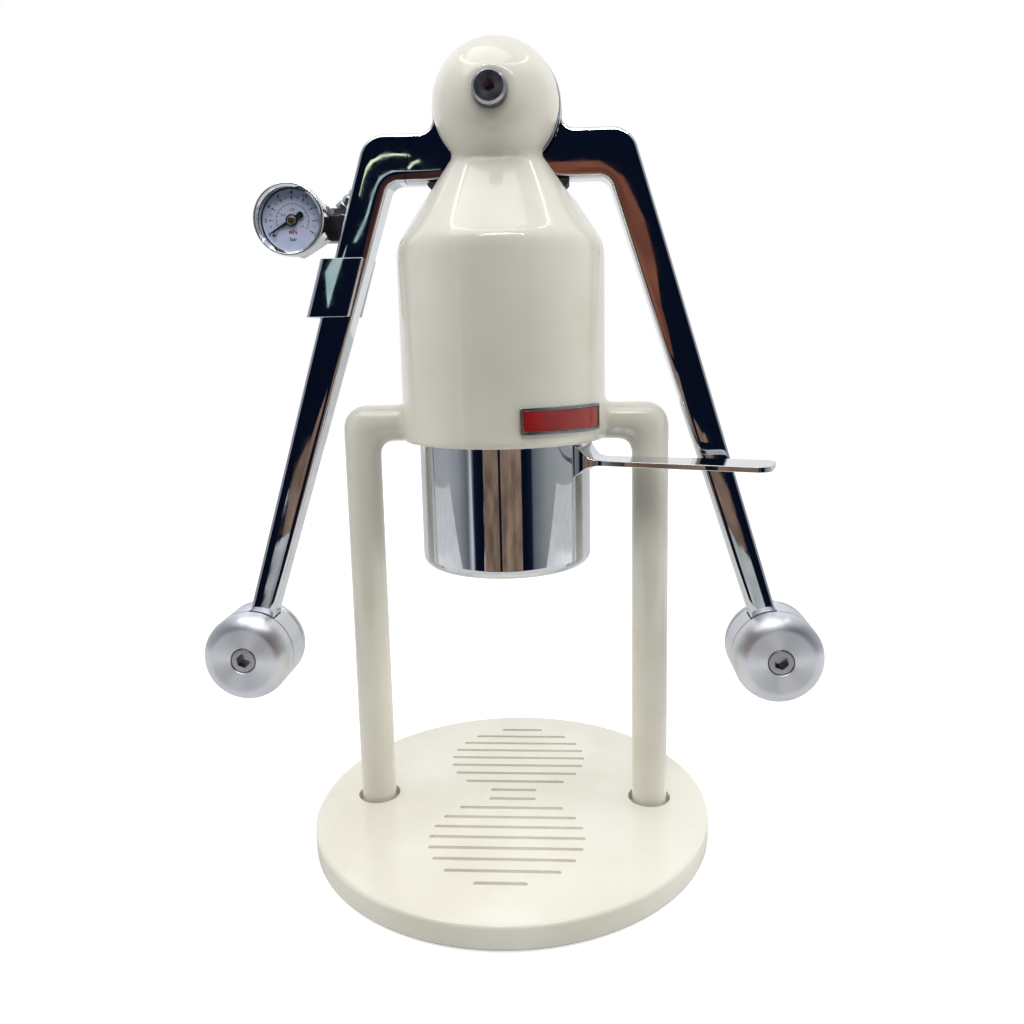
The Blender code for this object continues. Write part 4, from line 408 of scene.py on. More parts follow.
def makeBraid():
    finish, tree, shader = newFinish("stainlessBraidWoven")
    along = addNode(tree, "UVMap", {"_uv_map": "hose"})
    waves = []
    for lean in (1, -1):
        turnedMap = addNode(tree, "Mapping", {"Rotation": (0, 0, lean * math.radians(braid["lean"])),
                                             "Scale": braid["stretch"]}, Vector=along.outputs["UV"])
        waves.append(addNode(tree, "TexWave", {"_bands_direction": "X", "Scale": braid["bands"]},
                             Vector=turnedMap.outputs["Vector"]))
    weave = addNode(tree, "Math", {"_operation": "MAXIMUM"}, n0=waves[0].outputs["Fac"],
                    n1=waves[1].outputs["Fac"])
    # Painted shade and highlight: the colour runs from dark in the gaps between strands to light on the strands
    # lying on top
    tone = setRamp(addNode(tree, "ValToRGB", Fac=weave.outputs["Value"]), (0.15, braid["dark"]),
                   (0.85, braid["light"]))
    tree.links.new(tone.outputs["Color"], shader.inputs["Base Color"])
    shader.inputs["Metallic"].default_value = 1
    rough = addNode(tree, "MapRange", {"To Min": 0.5, "To Max": 0.25}, Value=weave.outputs["Value"])
    tree.links.new(rough.outputs["Result"], shader.inputs["Roughness"])
    bump = addNode(tree, "Bump", {"Strength": 0.8, "Distance": braid["depth"] / 1000},
                   Height=weave.outputs["Value"])
    tree.links.new(bump.outputs["Normal"], shader.inputs["Normal"])
    return finish


# Gauge glass: a flat pressed disc is clear, and a few faint wipe marks dull its reflections
def makeGlass():
    finish, tree, shader = newFinish("gaugeGlassPressed")
    place = addNode(tree, "TexCoord").outputs["Object"]
    wipes = addNode(tree, "TexNoise", {"Scale": perMetre(7), "Detail": 5.0}, Vector=place)
    rough = addNode(tree, "MapRange", {"From Min": 0.45, "From Max": 0.8, "To Min": 0.0, "To Max": 0.06},
                    Value=wipes.outputs["Fac"])
    tree.links.new(rough.outputs["Result"], shader.inputs["Roughness"])
    shader.inputs["Base Color"].default_value = hexColour("#f6fbff")
    shader.inputs["Transmission Weight"].default_value = 1
    shader.inputs["IOR"].default_value = 1.46
    return finish


finishes = {
    "cream_paint": makeEnamel(),
    # Chrome plate over a hand-polished bar: a mirror whose reflections bend in slow waves
    "polished_chrome": makeMetal("chromePlatedPolished", "#dcdfe4", "#d2d5da", 0.035, 0.02, 26, 0.05),
    "brushed_aluminium": makeTurnedAluminium(),
    # Machined steel: grey, half dull, lined across
    "steel": makeMetal("steelMachined", "#b4b5ba", "#9fa0a6", 0.24, 0.05, grain=(1, 1, 4)),
    # Turned stainless steel: paler and brighter than the plain steel
    "stainless": makeMetal("stainlessTurned", "#c8c9cc", "#b7b8bc", 0.2, 0.05, grain=(4, 1, 1)),
    # Sintered bronze: warm brown and open-pored, so its sheen is broken up
    "bronze": makeMetal("bronzeSintered", "#a9793f", "#8a5f30", 0.38, 0.06, grain=(2, 2, 2)),
    # Turned brass: pale yellow with fine lines
    "brass": makeMetal("brassTurned", "#c4ae82", "#ad9668", 0.26, 0.05, grain=(3, 1, 1)),
    # Moulded nitrile rubber: near black and matt, with a dusty bloom
    "rubber": makeMoulded("nitrileRubberMoulded", "#26272a", "#1b1c1e", 0.72),
    # Moulded silicone: brick red, smoother than the rubber
    "silicone": makeMoulded("siliconeMoulded", "#a8452f", "#8e3826", 0.5),
    # Black anodised aluminium: dark grey with a soft metal sheen
    "black_anodised": makeMetal("aluminiumAnodisedBlack", "#5a595e", "#49484d", 0.34, 0.05, grain=(1, 1, 1)),
    # Stamped and nickel-plated plate: satin silver
    "badge_silver": makeMetal("nickelPlateStamped", "#b5b6bb", "#9b9ca2", 0.28, 0.05, grain=(2, 1, 1)),
    # Fired red enamel: deep colour under a glassy coat
    "badge_red": makeMoulded("enamelRedFired", "#a3241f", "#8c1b19", 0.22, 0.5, 0.01, 0.7),
    # Dial enamel: a cool white with no gloss to hide the scale
    "dial_white": makeMoulded("dialEnamelPrinted", "#e9ebff", "#dde1fb", 0.45, 0.6, 0.005),
    # Needle paint: satin black
    "needle_black": makeMoulded("needlePaintBlack", "#17181a", "#101113", 0.4, 0.4, 0.005),
    "gauge_glass": makeGlass(),
    "braided_hose": makeBraid(),
}
# Pad-printed ink: a flat film on the dial
printBlack = makeMoulded("dialInkBlack", "#1d1e22", "#141518", 0.5, 0.5, 0.002)
printRed = makeMoulded("dialInkRed", "#b5283a", "#9c2030", 0.5, 0.5, 0.002)
print("finishes made")

# Hose: braided tube from the ferrule over the arm, behind the head and into the body's back
hose = {"diameter": 3.4, "sides": 24, "step": 0.9,
        "route": ((-55.7, 13.1, 260.3), (-48.2, 14.8, 266.4), (-39.5, 18.8, 270.4), (-30.0, 25.0, 272.2),
                  (-20.0, 32.4, 272.0), (-9.5, 40.4, 269.8), (0.5, 48.4, 265.6), (9.0, 56.2, 258.8),
                  (15.0, 62.8, 249.6), (17.6, 67.4, 239.0), (16.8, 69.8, 228.2), (12.8, 69.2, 219.0),
                  (7.4, 65.0, 213.2), (3.0, 59.0, 211.2), (0.6, 52.4, 211.0), (0.0, 47.6, 211.0),
                  (0.0, 43.2, 211.0)),
        "inside": ((0.0, 31.4, 211.0), (0.0, 29.2, 210.4), (0.0, 27.3, 206.0), (0.0, 26.3, 196.0),
                   (0.0, 25.5, 184.0), (0.0, 23.0, 173.0), (0.0, 19.8, 166.0), (0.0, 18.2, 161.5),
                   (0.0, 18.0, 157.5)), "pistonRise": 29.3}


def smoothRoute(points, step):
    route = [Vector(point) for point in points]
    padded = [route[0] * 2 - route[1]] + route + [route[-1] * 2 - route[-2]]
    smooth = [route[0]]
    for index in range(1, len(padded) - 2):
        before, start, end, after = padded[index - 1:index + 3]
        count = max(1, round((end - start).length / step))
        for turn in range(1, count + 1):
            share = turn / count
            smooth.append(0.5 * (2 * start + (end - before) * share
                                 + (2 * before - 5 * start + 4 * end - after) * share ** 2
                                 + (3 * start - before - 3 * end + after) * share ** 3))
    return smooth


def sweptTube(path, radius, sides):
    # A ring extruded from point to point, each time laid square to the path
    bm = bmesh.new()
    ring = bmesh.ops.create_circle(bm, segments=sides, radius=radius, cap_ends=True)["verts"]
    uvs = bm.loops.layers.uv.new("hose")
    travelled = 0.0
    level = Vector((0, 0, 1))
    frames = []
    for index in range(len(path)):
        heading = (path[min(index + 1, len(path) - 1)] - path[max(index - 1, 0)]).normalized()
        side = heading.cross(level).normalized()
        level = side.cross(heading).normalized()
        frames.append(Matrix((side, level, heading)).transposed().to_4x4())
    local = [vertex.co.copy() for vertex in ring]
    edges = list({edge for vertex in ring for edge in vertex.link_edges})
    for vertex, offset in zip(ring, local):
        vertex.co = path[0] + frames[0] @ offset
    for index in range(1, len(path)):
        grown = bmesh.ops.extrude_edge_only(bm, edges=edges)["geom"]
        moved = [item for item in grown if isinstance(item, bmesh.types.BMVert)]
        edges = [item for item in grown if isinstance(item, bmesh.types.BMEdge)]
        turnedBy = frames[index] @ frames[index - 1].inverted()
        for vertex in moved:
            vertex.co = path[index] + turnedBy @ (vertex.co - path[index - 1])
        travelled += (path[index] - path[index - 1]).length
        for face in {face for vertex in moved for face in vertex.link_faces}:
            for loop in face.loops:
                near = loop.vert in moved
                spoke = frames[index].inverted() @ (loop.vert.co - path[index if near else index - 1])
                around = math.atan2(spoke.y, spoke.x) / (2 * math.pi)
                middle = frames[index].inverted() @ (face.calc_center_median() - path[index])
                around -= round(around - math.atan2(middle.y, middle.x) / (2 * math.pi))
                back = 0 if near else (path[index] - path[index - 1]).length
                loop[uvs].uv = (around, (travelled - back) / 1000)
    bmesh.ops.contextual_create(bm, geom=edges)
    bmesh.ops.recalc_face_normals(bm, faces=bm.faces)
    return bm


hosePath = smoothRoute(hose["route"], hose["step"])
outerHose = addPiece("pressureHose", sweptTube(hosePath, hose["diameter"] / 2, hose["sides"]),
                     finishes["braided_hose"], "frame", "outer_hose")
# The stretch inside the body, which gathers up in the machine as the piston rises, gets a mesh of its own
innerHose = addPiece("innerHose", sweptTube(smoothRoute(hose["inside"], hose["step"]), hose["diameter"] / 2,
                                            hose["sides"]), finishes["braided_hose"], "frame", "inner_hose")
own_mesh(innerHose)

# Casting: bottle, ball head in two cheeks and both legs, blended as cast
casting = {"radius": 39.5, "bottom": 161, "rim": 1.2, "shoulder": 234.7, "shoulderRound": 12,
           "neckHeight": 267.3, "neckRadius": 17.9, "neckRound": 2.5, "neckTop": 272.8, "neckTopRadius": 14.2,
           "cavity": 36.2, "cavityShoulder": 226, "cavityTop": 238, "cavityTopRadius": 27, "inRound": 2,
           "boss": 11.5, "bossBottom": 200, "bushRoom": 7.9, "bushTop": 215, "passage": 5.8,
           "head": 23.3, "cheek": 7, "capSeat": 6.6, "axleBore": 5.3, "seatDepth": 28.6,
           "slotHalf": 6.9, "slotFloor": 252, "slotReach": 49.5,
           "pocket": 16.4, "pocketHalf": 2.9, "pocketFloor": 240.2, "hoseHole": 3.4, "hoseHeight": 211,
           "voxel": 1.05, "smoothing": 6}
leg = {"radius": 7.2, "reach": 56.95, "foot": 6.3, "shoulder": 167.9, "outer": 9, "inner": 5.2, "sides": 40,
       "blend": 9, "rootInset": 1.6, "threadRadius": 2.9, "threadTop": 16.8}


def makeLeg(side):
    # Rings run from the foot round the corner into the wall; the corner is tighter inside than outside
    innerEdge, outerEdge = leg["reach"] - leg["radius"], leg["reach"] + leg["radius"]
    under, over = leg["shoulder"] - leg["radius"], leg["shoulder"] + leg["radius"]
    innerCorner = (innerEdge - leg["inner"], under - leg["inner"])
    outerCorner = (outerEdge - leg["outer"], over - leg["outer"])
    ends = [((innerEdge, leg["foot"]), (outerEdge, leg["foot"])),
            ((innerEdge, innerCorner[1] - leg["blend"]), (outerEdge, innerCorner[1] - leg["blend"]))]
    ends += zip(arcPoints(innerCorner, leg["inner"], 0, 90, 10), arcPoints(outerCorner, leg["outer"], 0, 90, 10))
    root = casting["radius"] - leg["rootInset"]
    ends.append(((root, under), (root, over)))
    bm = bmesh.new()
    ring = bmesh.ops.create_circle(bm, segments=leg["sides"], radius=leg["radius"], cap_ends=True)["verts"]
    angles = [math.atan2(vertex.co.y, vertex.co.x) for vertex in ring]
    edges = list({edge for vertex in ring for edge in vertex.link_edges})
    spots = {vertex: angle for vertex, angle in zip(ring, angles)}
    for index, (inner, outer) in enumerate(ends):
        if index:
            before = {tuple(round(part, 5) for part in vertex.co): angle for vertex, angle in spots.items()}
            grown = bmesh.ops.extrude_edge_only(bm, edges=edges)["geom"]
            edges = [item for item in grown if isinstance(item, bmesh.types.BMEdge)]
            spots = {item: before[tuple(round(part, 5) for part in item.co)] for item in grown
                     if isinstance(item, bmesh.types.BMVert)}
        for vertex, angle in spots.items():
            share = (1 + math.cos(angle)) / 2
            vertex.co = (side * (inner[0] + (outer[0] - inner[0]) * share), leg["radius"] * math.sin(angle),
                         inner[1] + (outer[1] - inner[1]) * share)
    bmesh.ops.contextual_create(bm, geom=edges)
    bmesh.ops.recalc_face_normals(bm, faces=bm.faces)
    return bm


def makeCasting():
    part = casting
    profile = rounded([(part["neckTopRadius"], part["neckTop"], 0),
                       (part["neckRadius"], part["neckHeight"], part["neckRound"]),
                       (part["radius"], part["shoulder"], part["shoulderRound"]),
                       (part["radius"], part["bottom"], part["rim"]), (part["cavity"], part["bottom"], 0.8),
                       (part["cavity"], part["cavityShoulder"], part["inRound"]),
                       (part["cavityTopRadius"], part["cavityTop"], part["inRound"]),
                       (part["boss"], part["cavityTop"], 1), (part["boss"], part["bossBottom"], 0.5),
                       (part["bushRoom"], part["bossBottom"], 0), (part["bushRoom"], part["bushTop"], 0),
                       (part["passage"], part["bushTop"], 0), (part["passage"], part["neckTop"], 0)])
    body = turned(profile, 144, ring=True)
    start = math.degrees(math.acos(part["capSeat"] / part["head"]))
    ball = arcPoints((0, part["cheek"]), part["head"], start, 0, 24)
    ball += arcPoints((0, -part["cheek"]), part["head"], 0, -start, 24)
    ball += [(part["capSeat"], -part["seatDepth"]), (part["axleBore"], -part["seatDepth"]),
             (part["axleBore"], part["seatDepth"]), (part["capSeat"], part["seatDepth"])]
    head = placed(turned(ball, 120, ring=True), toFront, shift(0, 0, axleHeight))
    body = combined(body, [head, makeLeg(-1), makeLeg(1)], "UNION")
    reach, half = part["slotReach"], part["slotHalf"]
    hole = placed(rod(part["hoseHole"], -60, -20), toFront, shift(0, 0, part["hoseHeight"]))
    tools = [box((-reach, -half, part["slotFloor"]), (reach, half, axleHeight + 40)),
             box((-part["pocket"], -part["pocketHalf"], part["pocketFloor"]),
                 (part["pocket"], part["pocketHalf"], axleHeight)), hole]
    tools += [placed(rod(leg["threadRadius"], -5, leg["threadTop"]), shift(side * leg["reach"], 0, 0))
              for side in (-1, 1)]
    made = looseObject(combined(body, tools))
    remesh = made.modifiers.new("castSkin", "REMESH")
    remesh.mode = "VOXEL"
    remesh.voxel_size = part["voxel"]
    bm = evaluated(made)
    for _ in range(part["smoothing"]):
        bmesh.ops.smooth_vert(bm, verts=bm.verts, factor=0.5, use_axis_x=True, use_axis_y=True, use_axis_z=True)
    bmesh.ops.recalc_face_normals(bm, faces=bm.faces)
    addPiece("bodyCasting", bm, finishes["cream_paint"], "frame", "body_casting", sharp=75, steady=False)


makeCasting()
print("casting made")

# Base: round plate, soft edge, two round fields of drip grooves and two leg sockets
base = {"radius": 80, "forward": 3.5, "low": 0.5, "top": 10.1, "edge": 1.5, "matRoom": 46.3, "matTop": 1.7,
        "socket": 8.65, "socketFloor": 6.0, "screwHole": 2.9, "headRoom": 5.3, "headSeat": 4.2,
        "pitch": 7.17, "count": 18, "field": 30.3, "width": 2.0, "depth": 1.1}


def makeBase():
    part = base
    profile = rounded([(0, part["top"], 0), (part["radius"], part["top"], part["edge"]),
                       (part["radius"], part["low"], part["edge"]), (part["matRoom"], part["low"], 0.3),
                       (part["matRoom"], part["matTop"], 0), (0, part["matTop"], 0)])
    plateShape = placed(turned(profile, 192), shift(0, -part["forward"], 0))
    tools = []
    for side in (-1, 1):
        spot = shift(side * leg["reach"], 0, 0)
        tools += [placed(rod(part["socket"], part["socketFloor"], 20, 64), spot),
                  placed(rod(part["screwHole"], 1, 9), spot),
                  placed(rod(part["headRoom"], -3, part["headSeat"]), spot)]
    fieldCentre = part["pitch"] * part["count"] / 4
    for index in range(part["count"]):
        row = part["pitch"] * (index - (part["count"] - 1) / 2)
        reach = math.sqrt(part["field"] ** 2 - (abs(row) - fieldCentre) ** 2) - part["width"] / 2
        ends = arcPoints((reach, row), part["width"] / 2, -90, 90, 8)
        ends += arcPoints((-reach, row), part["width"] / 2, 90, 270, 8)
        tools.append(plate(ends, part["top"] - part["depth"], part["top"] + 3))
    bm = combined(plateShape, tools)
    addPiece("basePlate", bm, finishes["cream_paint"], "frame", "base_plate", sharp=50)


makeBase()
print("base made")

# Arms: polished bars with a slightly crowned face, thinning from the elbow to the knob
arm = {"thickness": 13, "endThickness": 8, "edge": 1.5, "hub": 23.9, "rootDrop": 8, "rootHeight": 17.4,
       "fillet": 5, "elbow": 49.5, "elbowRound": 10, "innerElbow": 41, "innerRound": 5, "underside": 27,
       "knobReach": 106.6, "knobDrop": 210, "endWidth": 9.9, "taperDrop": 49,
       "crown": ((0.8, 0.05), (0.8, 0.03), (0.7, 0.012)),  # width and rise of each step from the edge inwards
       "lapHalf": 2.4, "lapRoom": 24.5, "yokeRoom": 29, "yokeReach": 22.5, "gap": 0.3,
       "seam": 33.4, "seamLean": 9.2, "bore": 7.3, "crankReach": 12.005, "pinLevel": 268.634, "pinHole": 3.1,
       "screwReach": 29, "screwSpread": 8, "screwHole": 1.6, "screwDeep": 4.8, "headRoom": 2.7, "headSeat": 4.6,
       "knobHole": 3.3, "deep": 10.5, "inside": 28}


def armOutline():
    part = arm
    top, bottom = -part["rootDrop"], -part["rootDrop"] - part["rootHeight"]
    filletUp = top + part["fillet"]
    filletAcross = math.sqrt((part["hub"] + part["fillet"]) ** 2 - filletUp ** 2)
    knob, end = (part["knobReach"], -part["knobDrop"]), part["endWidth"] / 2
    outer = tangentPoint((part["elbow"], top), knob, end, 1)
    inner = tangentPoint((part["innerElbow"], bottom), knob, end, -1)
    under = (part["underside"], bottom)
    start = bearing((0, 0), (-filletAcross, -filletUp))
    outline = arcPoints((filletAcross, filletUp), part["fillet"], start, 270, 10)
    outline += rounded([(filletAcross, top, 0), (part["elbow"], top, part["elbowRound"]), (*outer, 0)],
                       steps=16)[1:]
    first, last = bearing(knob, outer), bearing(knob, inner)
    outline += arcPoints(knob, end, first, last - 360 if last > first else last, 12)[1:]
    outline += rounded([(*inner, 0), (part["innerElbow"], bottom, part["innerRound"]), (*under, 0)],
                       steps=12)[1:]
    touch = tangentPoint(under, (0, 0), part["hub"], 1)
    first, last = bearing((0, 0), touch), bearing((0, 0), (filletAcross, filletUp))
    outline += arcPoints((0, 0), part["hub"], first, last - 360 if last > first else last, 72)[:-1]
    return outline


def armBlank(side):
    part = arm
    half = part["thickness"] / 2 - sum(step[1] for step in part["crown"])
    bm = plate(armOutline(), -half, half)
    bmesh.ops.dissolve_limit(bm, angle_limit=math.radians(0.4), verts=bm.verts, edges=bm.edges)
    bmesh.ops.bisect_plane(bm, geom=bm.verts[:] + bm.edges[:] + bm.faces[:], dist=0.001,
                           plane_co=(0, -part["taperDrop"], 0), plane_no=(0, 1, 0))
    rims = [edge for edge in bm.edges
            if len(edge.link_faces) == 2 and edge.calc_face_angle() > math.radians(60)]
    bmesh.ops.bevel(bm, geom=rims, affect="EDGES", offset=part["edge"], segments=6, profile=0.5, material=-1,
                    clamp_overlap=False)
    faces = [face for face in bm.faces if abs(face.normal.z) > 0.999 and face.calc_area() > 60]
    for wide, rise in part["crown"]:
        bmesh.ops.inset_region(bm, faces=faces, thickness=wide, depth=rise, use_even_offset=True,
                               use_boundary=True)
    loss = 1 - part["endThickness"] / part["thickness"]
    for vertex in bm.verts:
        below = max(0, -part["taperDrop"] - vertex.co.y)
        vertex.co.z *= 1 - loss * below / (part["knobDrop"] - part["taperDrop"])
    if side < 0:
        bmesh.ops.scale(bm, vec=(-1, 1, 1), verts=bm.verts)
    bmesh.ops.recalc_face_normals(bm, faces=bm.faces)
    return placed(bm, toFront, shift(0, 0, axleHeight))


def across(radius, low, high, x, z, steps=48):
    return placed(rod(radius, low, high, steps), toFront, shift(x, 0, z))


def hubHoles(side):
    return [across(arm["bore"], -12, 12, 0, axleHeight, 64),
            across(arm["pinHole"], -12, 12, side * arm["crankReach"], arm["pinLevel"])]


def seamBlock(side, low, high):
    near = -side * arm["gap"] / 2
    span = sorted((near, side * 240))
    block = box((span[0], low, -240), (span[1], high, 240))
    middle = axleHeight - arm["rootDrop"] - arm["rootHeight"] / 2
    return placed(block, Matrix.Rotation(math.radians(arm["seamLean"]), 4, "Y"), shift(-arm["seam"], 0, middle))


def makeArms():
    part = arm
    lap, deep, inside, gap = part["lapHalf"], part["deep"], part["inside"], part["gap"]
    head = shift(0, 0, axleHeight)
    middle = axleHeight - part["rootDrop"] - part["rootHeight"] / 2

    def screwRow(radius, end):
        return [across(radius, -deep, end, -part["screwReach"], middle + side * part["screwSpread"] / 2)
                for side in (-1, 1)]

    def knobHole(side):
        return across(part["knobHole"], -deep, deep, side * part["knobReach"], axleHeight - part["knobDrop"])

    right = [across(part["lapRoom"], lap, deep, 0, axleHeight, 96),
             across(part["yokeRoom"], -lap, lap + gap, 0, axleHeight, 96),
             placed(box((-inside, -lap - gap / 2, -inside), (part["yokeReach"], lap, inside)), head),
             knobHole(1), *hubHoles(1)]
    hub = [across(part["yokeRoom"], -deep, lap, 0, axleHeight, 96),
           placed(box((-part["yokeReach"], -lap, -inside), (inside, deep, inside)), head),
           placed(box((-160, 0, -160), (0, deep, 160)), head), seamBlock(-1, -deep, deep), *hubHoles(-1),
           *screwRow(part["screwHole"], part["screwDeep"])]
    left = [seamBlock(1, -deep, gap), across(part["yokeRoom"] + gap, -deep, deep, 0, axleHeight, 96),
            placed(box((-part["yokeReach"] - gap, -deep - gap, -inside), (inside, deep + gap, inside)), head),
            knobHole(-1), *screwRow(part["screwHole"], part["screwDeep"]),
            *screwRow(part["headRoom"], -part["headSeat"])]
    for name, side, tools, body, node in (("rightArmBar", 1, right, "right_lever", "right_arm"),
                                          ("leftHubPlate", -1, hub, "left_lever", "left_hub"),
                                          ("leftArmBar", -1, left, "left_lever", "left_arm")):
        addPiece(name, combined(armBlank(side), tools), finishes["polished_chrome"], body, node, sharp=32)


makeArms()
print("arms made")

# Knobs: domed front disc, rear disc, end disc behind a groove, socket screw
knob = {"radius": 17.7, "face": 12.4, "front": 14.3, "seat": 4.7, "rear": 8, "cap": 3, "groove": 0.9,
        "shoulder": 5.6, "screwHead": 4.9, "screwFace": 14.1, "screwSeat": 10.1, "hole": 3.3,
        "key": 3.0, "keyDepth": 3.4, "relief": 0.35, "slotHalf": 5.4, "slotDepth": 4.5, "screwRadius": 3.0,
        "blind": 9.6, "gap": 0.3, "joint": 1}


def mapTurning(bm, x, z):
    # U runs out along the radius and V round the axis, for the lathe's rings
    layer = bm.loops.layers.uv.new("turning")
    for face in bm.faces:
        middle = face.calc_center_median()
        facing = math.atan2(middle.z - z, middle.x - x) / (2 * math.pi)
        for loop in face.loops:
            place = loop.vert.co
            reach = math.hypot(place.x - x, place.z - z)
            turn = math.atan2(place.z - z, place.x - x) / (2 * math.pi) if reach > 0.01 else facing
            turn -= round(turn - facing)
            loop[layer].uv = ((reach + abs(place.y)) / 10, turn)
    return bm


def hexSocket(radius, depth, face, x, z):
    return placed(rod(radius, face - depth, face + 3, 6), Matrix.Rotation(math.radians(10), 4, "Z"), toFront,
                  shift(x, 0, z))


def makeKnob(name, side, body):
    part = knob
    x, z = side * arm["knobReach"], axleHeight - arm["knobDrop"]
    spot = shift(x, 0, z)
    radius, gap, hole = part["radius"], part["gap"], part["hole"]

    def addDisc(piece, bm, node):
        addPiece(name + piece, mapTurning(bm, x, z), finishes["brushed_aluminium"], body, name + node, sharp=30)

    headRoom, headFloor = part["screwHead"] + gap, part["screwSeat"] - gap
    shoulder = [(part["face"] + (radius - part["face"]) * math.sin(angle),
                 part["front"] - part["shoulder"] * (1 - math.cos(angle)))
                for angle in (math.pi / 2 * step / 14 for step in range(15))]
    line, relief = part["seat"] + part["relief"], radius - part["joint"]
    front = [(headRoom, part["front"] - 0.25), (headRoom + 0.25, part["front"])] + shoulder
    front += [(radius, line + 0.1), (radius - 0.1, line), (relief, line), (relief, part["seat"]),
              (hole, part["seat"]), (hole, headFloor), (headRoom, headFloor)]
    addDisc("KnobFront", placed(turned(front, 128, ring=True), toFront, spot), "_knob_front")
    high, low = part["seat"] - gap, -part["rear"]
    rear = rounded([(hole, high, 0), (radius, high, 0.12), (radius, low + part["groove"], 0.25),
                    (radius - part["groove"], low, 0), (hole, low, 0)], steps=3)
    disc = placed(turned(rear, 128, ring=True), toFront, spot)
    lean = math.atan2(side * (arm["knobReach"] - (arm["elbow"] + arm["innerElbow"]) / 2),
                      arm["knobDrop"] - arm["rootDrop"] - arm["rootHeight"] / 2)
    slot = box((-part["slotHalf"], -high - 4, -part["slotHalf"]), (part["slotHalf"], part["slotDepth"], 30))
    addDisc("KnobRear", combined(disc, [placed(slot, Matrix.Rotation(-lean, 4, "Y"), spot)]), "_knob_rear")
    top = low - gap
    bottom = top - part["cap"]
    cap = rounded([(0, -part["blind"] - gap, 0), (hole, -part["blind"] - gap, 0), (hole, top, 0),
                   (radius - part["groove"], top, 0), (radius, top - part["groove"], 0.25), (radius, bottom, 0.7),
                   (radius * 0.55, bottom, 0), (0, bottom, 0)], steps=4)
    addDisc("KnobEnd", placed(turned(cap, 128), toFront, spot), "_knob_cap")
    screw = rounded([(0, part["screwFace"], 0), (part["screwHead"], part["screwFace"], 0.35),
                     (part["screwHead"], part["screwSeat"], 0.1), (part["screwRadius"], part["screwSeat"], 0),
                     (part["screwRadius"], -part["blind"], 0), (0, -part["blind"], 0)], steps=4)
    bolt = combined(placed(turned(screw, 64), toFront, spot),
                    [hexSocket(part["key"], part["keyDepth"], part["screwFace"], x, z)])
    addPiece(name + "KnobScrew", bolt, finishes["steel"], body, name + "_knob_screw", sharp=30)


makeKnob("left", -1, "left_lever")
makeKnob("right", 1, "right_lever")
print("knobs made")

# Portafilter: spun and polished cup with a welded strap handle
cup = {"radius": 33.4, "wall": 2.5, "bottom": 112.2, "top": 171, "floor": 3.1, "edge": 4, "spout": 5,
       "lugLow": 165.9, "lugHeight": 3, "lugReach": 35.7, "lugHalf": 18}
strap = {"angle": -18, "reach": 103, "top": 154.5, "thickness": 2, "tip": 20.5, "tipCorner": 5, "edge": 0.35,
         "saddleHalf": 5.9, "saddleWidth": 16.6, "saddleStart": 33.7, "saddleMiddle": 154.4,
         # How far out, and there the share of the saddle's width and height
         "flare": ((0.0, 1.22, 1.0), (0.7, 1.1, 0.84), (1.5, 1.01, 0.65), (2.5, 0.95, 0.46), (4.0, 0.9, 0.29),
                   (6.0, 0.885, 0.19), (8.5, 0.9, 0.17)), "bentSections": 5}


def makeCup():
    part = cup
    inner = part["radius"] - part["wall"]
    floorTop = part["bottom"] + part["floor"]
    profile = rounded([(inner, part["top"], 0.5), (part["radius"], part["top"], 0.5),
                       (part["radius"], part["bottom"], part["edge"]), (part["spout"], part["bottom"], 0.8),
                       (part["spout"], floorTop, 0.8), (inner, floorTop, 2.0)], closed=True, steps=12)
    shell = turned(profile, 160, ring=True)
    lugs = []
    for facing in (90, 270):
        outline = arcPoints((0, 0), part["lugReach"], facing - part["lugHalf"], facing + part["lugHalf"], 16)
        outline += arcPoints((0, 0), inner + 1, facing + part["lugHalf"], facing - part["lugHalf"], 16)
        lugs.append(bevelled(plate(outline, part["lugLow"], part["lugLow"] + part["lugHeight"]), 0.3, 2, 60))
    shell = combined(shell, lugs, "UNION")
    addPiece("portafilterCup", shell, finishes["polished_chrome"], "portafilter", "portafilter_cup", sharp=38)


